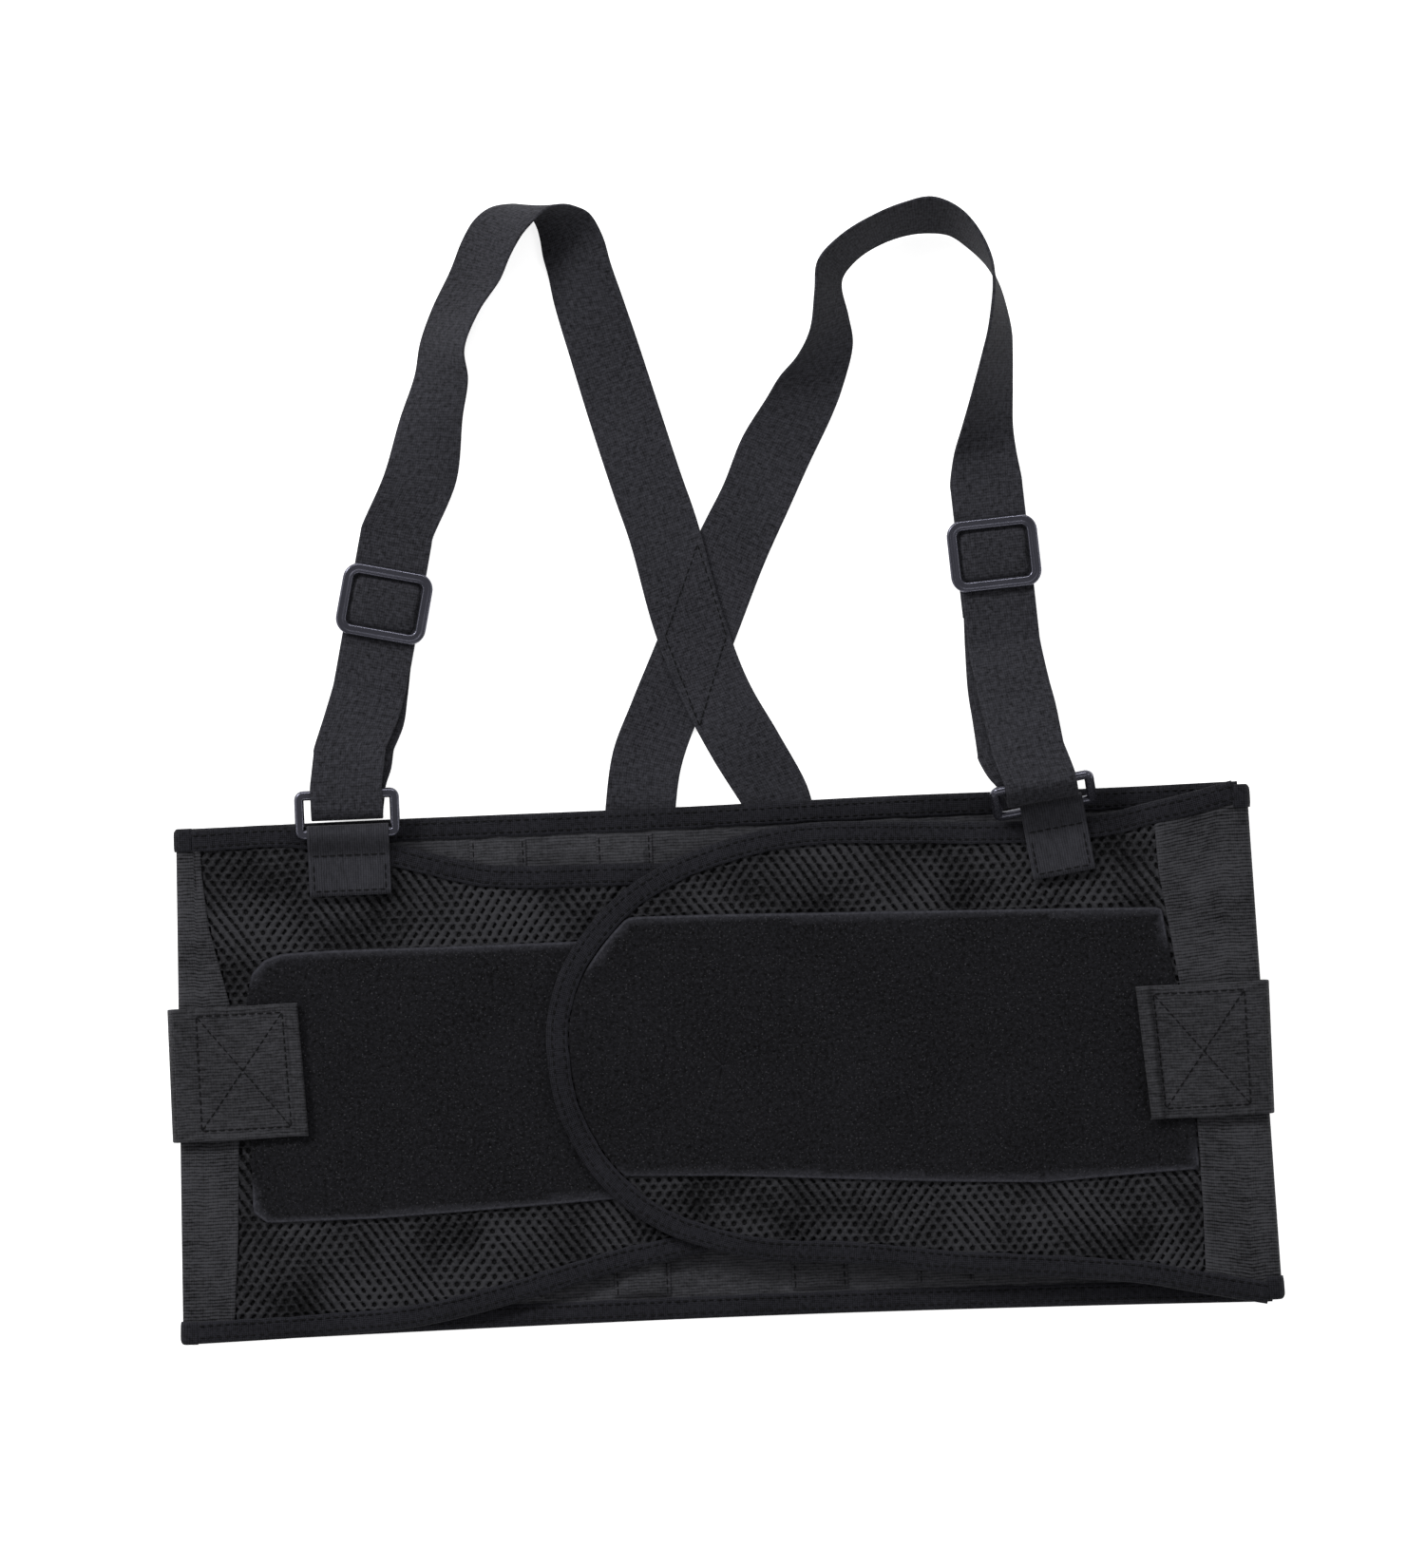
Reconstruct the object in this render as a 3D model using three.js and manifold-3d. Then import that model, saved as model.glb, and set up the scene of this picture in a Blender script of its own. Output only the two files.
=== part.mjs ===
// Back brace with suspenders, laid flat on a table with the front panels closed. Millimetres, +Z up.
// The back panel lies with its inner side up, its centre at the origin; +Y runs towards the shoulders.
import * as THREE from "three";
import { mergeVertices } from "three/addons/utils/BufferGeometryUtils.js";
import Module from "manifold-3d";

// Driving dimensions
const GAP = 0.3; // clearance between sewn or stacked layers
const WEBBING = 1.3; // thickness of the suspender elastic
const PANEL_Z = [2.4, 4.2]; // back panel elastic, bottom and top
const LEFT_Z = [7.6, 9.6]; // left front panel, under the right one
const RIGHT_Z = [12.0, 14.0]; // right front panel, on top
const BINDING_WIDTH = 9.4; // edge binding, seen from above
const BINDING_WALL = 0.5;
const LOOP_THICK = 0.9; // hook-and-loop field
const HOOK_THICK = 0.7;
const TAB_THICK = 1.6; // pull tab
const BAND_THICK = 1.2; // pull band under the back
const BAND_WIDTH = 57;
const SIDE_X = 229.8; // fold of the side elastic at mid height
const SIDE_FLARE = 0.028; // the brace is wider at the hip than at the ribs
const POCKET = { width: 24, height: 2.0, wall: 0.6, length: 198, middle: 1.2, at: [-92, -38, 38, 92] };
const STAY = { width: 14, thick: 0.8, length: 178 };
const RING = { width: 45, height: 21, bar: 4.2, thick: 3.6, corner: 4 };
const FOLD_R = 3.35; // middle of the webbing folded round a ring bar
const SLIDER = { width: 39, height: 31, bar: 4.6, thick: 3, corner: 5, lift: 1.0 };
const SLIDER_Z = 6.3; // running strap where it passes through the slider

const wasm = await Module();
wasm.setup();

// Solid helpers
function toManifold(geometry) {
  const bare = geometry.clone();
  bare.deleteAttribute("normal");
  bare.deleteAttribute("uv");
  const merged = mergeVertices(bare, 1e-4);
  const mesh = new wasm.Mesh({
    numProp: 3,
    vertProperties: new Float32Array(merged.attributes.position.array),
    triVerts: new Uint32Array(merged.index.array),
  });
  return new wasm.Manifold(mesh);
}

function toGeometry(solid) {
  const mesh = solid.getMesh();
  const geometry = new THREE.BufferGeometry();
  geometry.setAttribute("position", new THREE.BufferAttribute(mesh.vertProperties, 3));
  geometry.setIndex(new THREE.BufferAttribute(mesh.triVerts, 1));
  return geometry;
}

function shapeOf(points) {
  return new THREE.Shape(points.map(([x, y]) => new THREE.Vector2(x, y)));
}

// A flat plate with this outline between two heights.
function plate(points, low, high) {
  const geometry = new THREE.ExtrudeGeometry(shapeOf(points), { depth: high - low, bevelEnabled: false });
  return geometry.translate(0, 0, low);
}

// A smooth run of points through the given ones.
function smooth(points, count) {
  const curve = new THREE.SplineCurve(points.map(([x, y]) => new THREE.Vector2(x, y)));
  return curve.getPoints(count).map((p) => [p.x, p.y]);
}

// The run moved sideways, positive to its left.
function offset(points, distance) {
  return points.map(([x, y], i) => {
    const before = points[Math.max(i - 1, 0)];
    const after = points[Math.min(i + 1, points.length - 1)];
    const along = new THREE.Vector2(after[0] - before[0], after[1] - before[1]).normalize();
    return [x - along.y * distance, y + along.x * distance];
  });
}

// The run made longer at both ends.
function extended(points, by) {
  const n = points.length;
  const start = new THREE.Vector2(points[0][0] - points[1][0], points[0][1] - points[1][1]).setLength(by);
  const end = new THREE.Vector2(
    points[n - 1][0] - points[n - 2][0],
    points[n - 1][1] - points[n - 2][1],
  ).setLength(by);
  const first = [points[0][0] + start.x, points[0][1] + start.y];
  const last = [points[n - 1][0] + end.x, points[n - 1][1] + end.y];
  return [first, ...points.slice(1, -1), last];
}

// Binding tape folded round a panel edge. The run goes clockwise, so the panel is on its right.
function binding(run, [low, high]) {
  const skin = GAP + BINDING_WALL;
  const tape = plate(
    [...offset(run, skin), ...offset(run, skin - BINDING_WIDTH).reverse()],
    low - skin,
    high + skin,
  );
  const long = extended(run, 1);
  const slot = plate(
    [...offset(long, GAP), ...offset(long, -1.6 * BINDING_WIDTH).reverse()],
    low - GAP,
    high + GAP,
  );
  return toGeometry(toManifold(tape).subtract(toManifold(slot)));
}

// A strip of fabric or webbing: each station gives its left edge and its right edge, [lx, ly, lz, rx, ry, rz].
function ribbon(stations, thickness, perStation = 3) {
  const steps = (stations.length - 1) * perStation;
  const edge = (k) =>
    new THREE.CatmullRomCurve3(
      stations.map((s) => new THREE.Vector3(s[k], s[k + 1], s[k + 2])),
      false,
      "centripetal",
    );
  const leftEdge = edge(0);
  const rightEdge = edge(3);
  const middle = (t) => leftEdge.getPoint(t).add(rightEdge.getPoint(t)).multiplyScalar(0.5);
  const geometry = new THREE.BoxGeometry(1, 1, 1, 1, steps, 1);
  const position = geometry.attributes.position;
  for (let i = 0; i < position.count; i++) {
    const t = position.getY(i) + 0.5;
    const left = leftEdge.getPoint(t);
    const right = rightEdge.getPoint(t);
    const along = middle(Math.min(t + 1e-3, 1)).sub(middle(Math.max(t - 1e-3, 0)));
    const across = right.clone().sub(left);
    const up = across.clone().cross(along).normalize();
    const point = left.lerp(right, position.getX(i) + 0.5);
    point.addScaledVector(up, position.getZ(i) * thickness);
    position.setXYZ(i, point.x, point.y, point.z);
  }
  geometry.computeVertexNormals();
  return geometry;
}

// A strip of constant width, folded in the plane across it: the path is [along, height]. A skew leans it sideways
// past the first few millimetres.
function folded(path, width, thickness, perStation = 2, skew = 0) {
  const half = width / 2;
  const stations = path.map(([s, z, shift = 0]) => {
    const lean = shift + skew * Math.max(0, s - 3);
    return [lean - half, s, z, lean + half, s, z];
  });
  return ribbon(stations, thickness, perStation);
}

function roundedRect(width, height, radius) {
  const x = width / 2;
  const y = height / 2;
  const shape = new THREE.Shape();
  shape.moveTo(-x + radius, -y);
  shape.lineTo(x - radius, -y);
  shape.absarc(x - radius, -y + radius, radius, -Math.PI / 2, 0, false);
  shape.lineTo(x, y - radius);
  shape.absarc(x - radius, y - radius, radius, 0, Math.PI / 2, false);
  shape.lineTo(-x + radius, y);
  shape.absarc(-x + radius, y - radius, radius, Math.PI / 2, Math.PI, false);
  shape.lineTo(-x, -y + radius);
  shape.absarc(-x + radius, -y + radius, radius, Math.PI, Math.PI * 1.5, false);
  return shape;
}

// A moulded rectangular loop with softened edges, centred on its own middle plane.
function mouldedLoop({ width, height, bar, thick, corner }, bevel) {
  const shape = roundedRect(width - 2 * bevel, height - 2 * bevel, corner - bevel);
  const hole = roundedRect(
    width - 2 * bar + 2 * bevel,
    height - 2 * bar + 2 * bevel,
    Math.max(corner - bar, 1) + bevel,
  );
  shape.holes.push(new THREE.Path(hole.getPoints(4)));
  const geometry = new THREE.ExtrudeGeometry(shape, {
    depth: thick - 2 * bevel,
    bevelThickness: bevel,
    bevelSize: bevel,
    bevelSegments: 1,
    curveSegments: 4,
  });
  return geometry.translate(0, 0, -thick / 2 + bevel);
}

// Colours of the real materials
const COLOURS = {
  elastic: 0x242426,
  side: 0x2e2e30,
  mesh: 0x17171a,
  velvet: 0x121217,
  binding: 0x1d1d21,
  webbing: 0x222226,
  hook: 0x151517,
  plastic: 0x1a1a1d,
  stay: 0x3a3a3e,
};

const group = new THREE.Group();

function add(name, geometry, look, parent = group) {
  const material = new THREE.MeshStandardMaterial({ color: COLOURS[look], roughness: 0.85 });
  const mesh = new THREE.Mesh(geometry, material);
  mesh.name = name;
  parent.add(mesh);
  return mesh;
}

// Side fold position at a given height up the brace.
function foldX(y) {
  return SIDE_X - SIDE_FLARE * y;
}

// Back panel, lying on the table with its outer side down
const backTop = smooth([[-225.4, 109.5], [-130, 110], [-20, 110], [82, 111], [168, 110.5], [225.4, 111]], 20);
const backBottom = smooth(
  [[231.2, -110.5], [154, -109], [32, -107.5], [-70, -107.5], [-191, -108.5], [-231.2, -109]],
  20,
);
const backPlate = plate([...backTop, ...backBottom], ...PANEL_Z);
add("back_panel", backPlate, "elastic");
add("back_top_binding", binding(backTop, PANEL_Z), "binding");
add("back_bottom_binding", binding(backBottom, PANEL_Z), "binding");

POCKET.at.forEach((x, i) => {
  const half = POCKET.width / 2;
  const inner = half - 3;
  const low = PANEL_Z[1] + GAP;
  const roof = low + POCKET.height - POCKET.wall;
  const section = [
    [-half, 0],
    [-inner, 0],
    [-inner, roof - low],
    [inner, roof - low],
    [inner, 0],
    [half, 0],
    [half, POCKET.wall],
    [inner + 1, POCKET.height],
    [-inner - 1, POCKET.height],
    [-half, POCKET.wall],
  ];
  const pocket = new THREE.ExtrudeGeometry(shapeOf(section), { depth: POCKET.length, bevelEnabled: false });
  pocket.rotateX(Math.PI / 2);
  pocket.translate(x, POCKET.middle + POCKET.length / 2, low);
  add("stay_pocket_" + (i + 1), pocket, "elastic");
  const stay = new THREE.BoxGeometry(STAY.width, STAY.length, STAY.thick);
  stay.translate(x, 0, low + GAP + STAY.thick / 2);
  add("stay_" + (i + 1), stay, "stay");
});

// Pull bands under the back, sewn to a patch at the middle
add("anchor_patch", new THREE.BoxGeometry(43, 66, BAND_THICK).translate(0, 2, BAND_THICK / 2), "webbing");
for (const [name, side, y] of [["left", -1, 5], ["right", 1, -2]]) {
  const length = foldX(y) - 1.6 - 21.9;
  const band = new THREE.BoxGeometry(length, BAND_WIDTH, BAND_THICK);
  band.translate(side * (21.9 + length / 2), y, BAND_THICK / 2);
  add(name + "_pull_band", band, "side");
}

// Suspenders behind: sewn under the back panel's top edge, crossing, then standing on edge at the shoulders
const leftBackStrap = [
  [-69.6, 370.2, 0.9, -55.9, 369, 26.8],
  [-66.5, 366.5, 0.9, -51.5, 369.3, 26.3],
  [-64, 361.5, 0.9, -46, 368, 23.5],
  [-62.8, 356, 1.0, -41, 365.3, 19],
  [-62, 349, 1.0, -36, 356, 13.0],
  [-60, 340, 0.9, -33, 344, 9.5],
  [-58, 328, 0.7, -29, 331, 5.0],
  [-52, 304, 0.8, -23, 311, 1.1],
  [-45, 277, 0.85, -16, 286, 0.85],
  [-36, 245, 1.5, -7, 254, 1.0],
  [-30, 225, 2.3, -1, 234, 2.3],
  [-21, 186, 2.3, 8, 195, 2.3],
  [-10, 155, 2.3, 18, 164, 2.3],
  [2, 130, 1.6, 30, 141, 2.1],
  [13, 111, 0.7, 41, 119, 0.9],
  [18, 102, 0.66, 44, 108, 0.66],
];
const rightBackStrap = [
  [130.1, 333.2, 30.5, 131, 333.2, 0.9],
  [129.2, 338.5, 30.3, 128, 337, 0.9],
  [124, 351.5, 29.3, 120.3, 345, 0.9],
  [116, 361, 28.3, 112.5, 350.6, 0.9],
  [105, 366, 27.5, 104, 352, 0.9],
  [93, 364, 27.5, 95, 351.6, 0.9],
  [81, 359.7, 27.8, 84.5, 348.8, 0.9],
  [66, 351.5, 28.2, 73.5, 343, 0.9],
  [55.5, 341, 28.6, 66, 335, 0.9],
  [53.6, 328, 28.5, 65, 330, 0.9],
  [51, 312, 26, 67.5, 318, 0.9],
  [45, 301, 19, 69, 306, 0.9],
  [36.8, 292.5, 12, 64, 288, 0.9],
  [31, 284, 6, 59, 276, 0.8],
  [20, 268, 1.2, 48, 255, 0.7],
  [11, 248, 0.7, 39, 237, 0.7],
  [0, 228, 0.7, 27, 213, 0.7],
  [-20, 183, 0.7, 9, 172, 0.7],
  [-32, 157, 0.7, -5, 146, 0.7],
  [-41, 136, 0.7, -12, 128, 0.7],
  [-45, 114, 0.7, -15, 112, 0.7],
  [-46, 102, 0.66, -16, 102, 0.66],
];
add("left_back_strap", ribbon(leftBackStrap, WEBBING), "webbing");
add("right_back_strap", ribbon(rightBackStrap, WEBBING), "webbing");

// Front panels. Each run follows the panel's edge clockwise seen from above.
const leftEdge = smooth(
  [
    [-222.6, 109], [-183, 109.5], [-160, 106], [-138, 100], [-110, 92], [-94, 88.5], [-25, 86.5], [4, 83],
    [27, 74], [45, 59], [56, 40], [60, 18], [59, -4], [54, -24], [44, -42], [30, -57], [12, -69], [-7, -77.5],
    [-49, -86], [-76, -93], [-111, -101.5], [-138, -106], [-165, -107.5], [-191, -108.3], [-228.6, -109],
  ],
  72,
);
const rightEdge = smooth(
  [
    [228.6, -111], [199, -105], [175, -100], [134, -95.5], [94, -92], [53, -86.5], [12, -83], [-8, -77.5],
    [-25, -71], [-42, -60], [-56, -45], [-65, -30], [-71, -14], [-73.5, 3], [-73.5, 20], [-68, 40], [-59, 55],
    [-42, 73], [-21, 86], [1, 94], [20, 98.5], [42, 101], [82, 100], [130, 98], [167, 99.5], [184, 103],
    [204, 107], [222.6, 111.5],
  ],
  72,
);
const leftMeshBorder = [[-221.2, 125], [-221.2, 92], [-219, 68], [-211.5, 35], [-210, -24], [-212, -65], [-217, -125]];
const rightMeshBorder = [[190, 125], [192, 80], [195, 57], [199, 28], [204, -34], [205, -70], [205, -125]];

function cut(points, low, high, ...cutters) {
  return cutters.reduce((solid, c) => solid.intersect(toManifold(c)), toManifold(plate(points, low, high)));
}

function buildFront({ side, name, run, height, border, field, pullY, tab, ring, strap, inner, slider }) {
  const [low, high] = height;
  const far = side * -400;
  const zone = [...border, [far, -125], [far, 125]];
  const outside = border.map(([x, y]) => [x + side * GAP, y]);
  const front = name + "_";
  const panel = cut(run, low, high, plate(zone, low - 1, high + 1));
  add(front + "front_panel", toGeometry(panel), "mesh");
  add(front + "edge_binding", binding(run, height), "binding");

  // Hook-and-loop field across the middle, stopping short of the binding
  const inset = offset(run, -BINDING_WIDTH - 1.2);
  const loopLow = high + GAP;
  const loop = cut(field, loopLow, loopLow + LOOP_THICK, plate(inset, loopLow - 1, loopLow + 2));
  add(front + "loop_field", toGeometry(loop), "velvet");

  // Side elastic: from the panel's border round the fold to the back panel's edge
  const lip = [
    [side * (foldX(-125) - 4), -125],
    [side * (foldX(125) - 4), 125],
  ];
  const leaf = cut(run, low, high, plate([...outside, ...lip], low - 1, high + 1));
  const middle = (low + high) / 2;
  const back = (PANEL_Z[0] + PANEL_Z[1]) / 2;
  const rise = (middle - back) / 2;
  const turn = [
    [SIDE_X - 4.8, middle],
    [SIDE_X - 2.8, middle - 0.02],
    [SIDE_X + 0.6, middle - 0.25 * rise],
    [SIDE_X + 1.9, middle - rise],
    [SIDE_X + 0.8, back + 0.25 * rise],
    [SIDE_X, back + 0.1],
    [SIDE_X - 0.8, back],
  ];
  const bend = folded(turn, 216, 1.8, 3);
  bend.rotateZ(side * -Math.PI / 2);
  const flare = new THREE.Matrix4().set(1, -side * SIDE_FLARE, 0, 0, 0, 1, 0, 0, 0, 0, 1, 0, 0, 0, 0, 1);
  bend.applyMatrix4(flare);
  add(front + "side_elastic", toGeometry(leaf.add(toManifold(bend))), "side");

  // Pull strap: round the fold, then stuck down on the loop field as a tab with a thick folded end
  const tabLow = loopLow + LOOP_THICK + GAP + HOOK_THICK + GAP;
  const tabMiddle = tabLow + TAB_THICK / 2;
  const reach = foldX(pullY) + tab.bulge;
  const wrapRise = (tabMiddle - 0.75) / 2;
  const wrap = folded(
    [
      [foldX(pullY) - 1.2, 0.8],
      [reach - 2.2, 1.1],
      [reach, 0.75 + wrapRise],
      [reach - 2.2, tabMiddle - 0.4],
      [reach - 5.5, tabMiddle],
    ],
    BAND_WIDTH,
    BAND_THICK,
    5,
  );
  wrap.rotateZ(side * -Math.PI / 2);
  wrap.translate(0, pullY, 0);
  add(front + "pull_wrap", wrap, "side");
  const root = reach - 5.9;
  const end = Math.abs(tab.endX);
  const section = [
    [root, tabLow],
    [root, tabLow + TAB_THICK],
    [end + 5.5, tabLow + TAB_THICK],
    [end + 4.6, tabLow + TAB_THICK + tab.hem],
    [end + 0.8, tabLow + TAB_THICK + tab.hem],
    [end, tabLow + TAB_THICK],
    [end, tabLow],
  ];
  const body = new THREE.ExtrudeGeometry(shapeOf(side > 0 ? section : section.map(([x, z]) => [-x, z])), {
    depth: BAND_WIDTH,
    bevelEnabled: false,
  });
  body.rotateX(Math.PI / 2);
  body.translate(0, pullY + BAND_WIDTH / 2, 0);
  add(front + "pull_tab", body, "side");
  const hookX = [end + 2, Math.min(root - 3, Math.abs(tab.hookTo))];
  const hook = new THREE.BoxGeometry(hookX[1] - hookX[0], BAND_WIDTH - 8, HOOK_THICK);
  hook.translate((side * (hookX[0] + hookX[1])) / 2, pullY, tabLow - GAP - HOOK_THICK / 2);
  add(front + "tab_hook", hook, "hook");

  // Folded webbing tab that holds the ring, sewn on the panel's top edge
  const holder = new THREE.Group();
  holder.position.set(ring.at[0], ring.at[1], 0);
  holder.rotation.z = THREE.MathUtils.degToRad(ring.turn);
  group.add(holder);
  const seat = high + GAP + BINDING_WALL + GAP + 0.45;
  const ringZ = seat + FOLD_R - 0.2;
  const tabPath = [
    [-tab.down, seat],
    [-12, seat],
    [-3, seat],
    [0.6, seat + 0.15],
    [2.9, ringZ - 1.9],
    [3.4, ringZ],
    [2.4, ringZ + 2.4],
    [0, ringZ + FOLD_R],
    [-3, ringZ + 2.4],
    [-9, seat + 1.7],
    [-13, seat + 1.25],
    [-tab.down, seat + 1.25],
  ];
  add(front + "ring_tab", folded(tabPath, ring.tabWidth, 0.9, 2), "webbing", holder);

  // Ring, its lower bar inside the tab and its upper bar inside the strap's loop
  const spin = new THREE.Group();
  spin.position.set(ring.at[0], ring.at[1], ringZ);
  spin.rotation.z = THREE.MathUtils.degToRad(ring.turn);
  group.add(spin);
  const pitch = RING.height - RING.bar;
  const tilt = THREE.MathUtils.degToRad(ring.tilt);
  const tipped = new THREE.Group();
  tipped.rotation.x = tilt;
  spin.add(tipped);
  add(front + "ring", mouldedLoop(RING, 1.1).translate(ring.shift, pitch / 2, 0), "plastic", tipped);
  const strapLoop = folded(ring.loop, 31, WEBBING, 3, ring.skew);
  strapLoop.translate(0, pitch * Math.cos(tilt), pitch * Math.sin(tilt));
  add(front + "strap_loop", strapLoop, "webbing", spin);
  add(front + "front_strap", ribbon(strap, WEBBING), "webbing");
  add(front + "inner_strap", ribbon(inner, WEBBING), "webbing");

  // Slider: frame over the strap, lowered centre bar under it, the strap's own end sewn round the bar
  const carriage = new THREE.Group();
  carriage.position.set(slider.at[0], slider.at[1], SLIDER_Z);
  carriage.rotation.z = THREE.MathUtils.degToRad(slider.turn);
  group.add(carriage);
  const frame = mouldedLoop(SLIDER, 0.9).translate(0, 0, SLIDER.lift + SLIDER.thick / 2);
  const sideX = SLIDER.width / 2 - 1.9;
  const pieces = [
    new THREE.BoxGeometry(SLIDER.width - 0.8, 4.4, 2.1).translate(0, 0, -3.35),
    new THREE.BoxGeometry(3, 4.4, 6.6).translate(-sideX, 0, -1.1),
    new THREE.BoxGeometry(3, 4.4, 6.6).translate(sideX, 0, -1.1),
  ];
  const whole = pieces.reduce((solid, p) => solid.add(toManifold(p)), toManifold(frame));
  add(front + "slider", toGeometry(whole), "plastic", carriage);
  const endPath = [
    [-26, -1.65],
    [-12, -1.6],
    [0, -1.55],
    [2.6, -1.7],
    [4.0, -3.35],
    [2.6, -5.0],
    [0, -5.25],
    [-12, -5.2],
    [-26, -5.2],
  ];
  add(front + "strap_end", folded(endPath, 30, 1.0, 3), "webbing", carriage);
}

buildFront({
  side: -1,
  name: "left",
  run: leftEdge,
  height: LEFT_Z,
  border: leftMeshBorder,
  field: [
    [-202, 36], [-199.5, 47], [-194, 53], [-186, 55.5], [-165, 56], [-104, 55.5], [70, 55], [70, -56], [-48, -55.5],
    [-108, -58], [-149, -59.5], [-197, -59.5], [-203, -55],
  ],
  pullY: 5,
  tab: { endX: -179, hookTo: -203, hem: 0.5, down: 26.5, bulge: 6 },
  ring: {
    at: [-155.5, 105.6], turn: 0, tilt: 0, shift: 0, skew: 0.14, tabWidth: 35,
    loop: [
      [18, -4.4, 3.5], [10, -3.8, 3.15], [3, -3.3, 1.6], [-3, -3.3, 0.7], [-8, -2.6, 0], [-10.4, 0, 0],
      [-8, 2.6, 0], [-3, 3.3, 0], [3, 3.2, 0], [10, 2.3, 0], [18, 0.5, 0],
    ],
  },
  slider: { at: [-136, 203], turn: -12.5 },
  strap: [
    [-168.8, 141.4, 14.5, -137.8, 141.4, 14.5],
    [-164, 155.5, 10, -133, 151.5, 10],
    [-159.4, 169.3, 6.3, -129.1, 162.6, 6.3],
    [-158.7, 172.2, 6.3, -128.4, 165.5, 6.3],
    [-145.1, 233.7, 6.3, -114.8, 227, 6.3],
    [-144.4, 236.6, 6.3, -114.2, 229.9, 6.3],
    [-134, 258, 6.3, -103, 254, 7.5],
    [-126, 282, 4, -99, 281, 16],
    [-119, 300, 2, -96, 297, 21],
    [-116, 314, 1, -97, 310, 24],
    [-110, 329, 1, -90, 326, 23],
    [-102, 344, 1, -80.5, 339, 22.5],
    [-96, 357.5, 1, -76, 348.5, 22],
    [-90.5, 365.8, 1, -70.8, 357, 24],
    [-84, 370.3, 1, -66.3, 362, 25.5],
    [-76.5, 371.5, 1, -61.8, 366.2, 26.3],
    [-71.2, 370.9, 0.9, -57.4, 368.6, 26.8],
  ],
  inner: [
    [-165.1, 141.4, 9.75, -134.1, 141.4, 9.75],
    [-160.4, 155, 5.9, -129.9, 151, 5.9],
    [-157.1, 168.7, 2.95, -127.9, 162.3, 2.95],
    [-156.6, 171.7, 2.95, -127.4, 165.3, 2.95],
    [-153.7, 192.6, 2.95, -124.4, 186.1, 2.95],
  ],
});

buildFront({
  side: 1,
  name: "right",
  run: rightEdge,
  height: RIGHT_Z,
  border: rightMeshBorder,
  field: [
    [-90, 65.5], [0, 64.5], [60, 63], [141, 61], [190.5, 59.5], [196, 20], [201, -34], [202, -53], [177, -54],
    [136, -56], [95, -54], [0, -47.5], [-90, -44],
  ],
  pullY: -2,
  tab: { endX: 180, hookTo: 200, hem: 2.0, down: 29.5, bulge: 4.8 },
  ring: {
    at: [145.3, 104.3], turn: 8.5, tilt: 50, shift: -2.8, skew: -0.2, tabWidth: 27,
    loop: [
      [15.5, -8.6, -9.4], [7.5, -4.7, -8.6], [3.4, -3.2, -7.2], [0.6, -4.4, -5.4], [-3.2, -7.8, -3.8], [-6.7, -8, -3.2],
      [-7.1, -4.5, -3.2], [-4.5, -0.2, -3.2], [-2.6, 2.2, -3.2], [-0.7, 3.35, -3.2], [1.5, 3.1, -3.2],
      [8, 0.1, -3.2], [15.5, -3.5, -3],
    ],
  },
  slider: { at: [125.5, 213.5], turn: 4 },
  strap: [
    [120.6, 128.4, 27.7, 151, 133, 27.7],
    [117.6, 143.4, 21, 148.8, 148, 21],
    [115.4, 155.5, 14.9, 146.4, 159.5, 14.9],
    [112.7, 174.5, 6.3, 143.6, 176.7, 6.3],
    [112.5, 177.5, 6.3, 143.4, 179.7, 6.3],
    [108.1, 240.3, 6.3, 139, 242.5, 6.3],
    [107.9, 243.3, 6.3, 138.8, 245.5, 6.3],
    [110, 256, 9.5, 137, 257, 4.6],
    [114, 268, 18, 136, 268, 3],
    [119, 283, 24, 136.5, 284, 2],
    [124, 299, 27, 137, 299, 1.4],
    [126.6, 308, 28.6, 137, 308, 1],
    [128.7, 319, 29.7, 135.2, 318.5, 0.9],
    [129.8, 328.5, 30.3, 132.4, 328.5, 0.9],
    [130, 331.8, 30.5, 131.5, 331.8, 0.9],
  ],
  inner: [
    [114.4, 127.3, 22.6, 144.4, 131.8, 22.6],
    [113, 142.3, 16.6, 143.6, 146.9, 16.6],
    [111.7, 154.6, 11.2, 141.8, 159.6, 11.2],
    [111.4, 174.3, 2.95, 141.3, 176.4, 2.95],
    [111.4, 177.4, 2.95, 141.3, 179.5, 2.95],
    [111.5, 198.5, 2.95, 141.4, 200.6, 2.95],
  ],
});

// Hook patch under the right panel's tip, which closes on the left panel's loop field
const hookTop = RIGHT_Z[0] - GAP;
const closure = cut(
  offset(rightEdge, -BINDING_WIDTH - 1.5),
  hookTop - 0.6,
  hookTop,
  plate([[-100, -38], [-22, -38], [-22, 46], [-100, 46]], hookTop - 2, hookTop + 1),
);
add("right_closure_hook", toGeometry(closure), "hook");

export default group;
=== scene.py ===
"""Looks of the back brace: cloth, webbing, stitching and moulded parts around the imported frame."""
import math
import bpy
import numpy as np
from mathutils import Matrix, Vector, geometry


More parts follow.
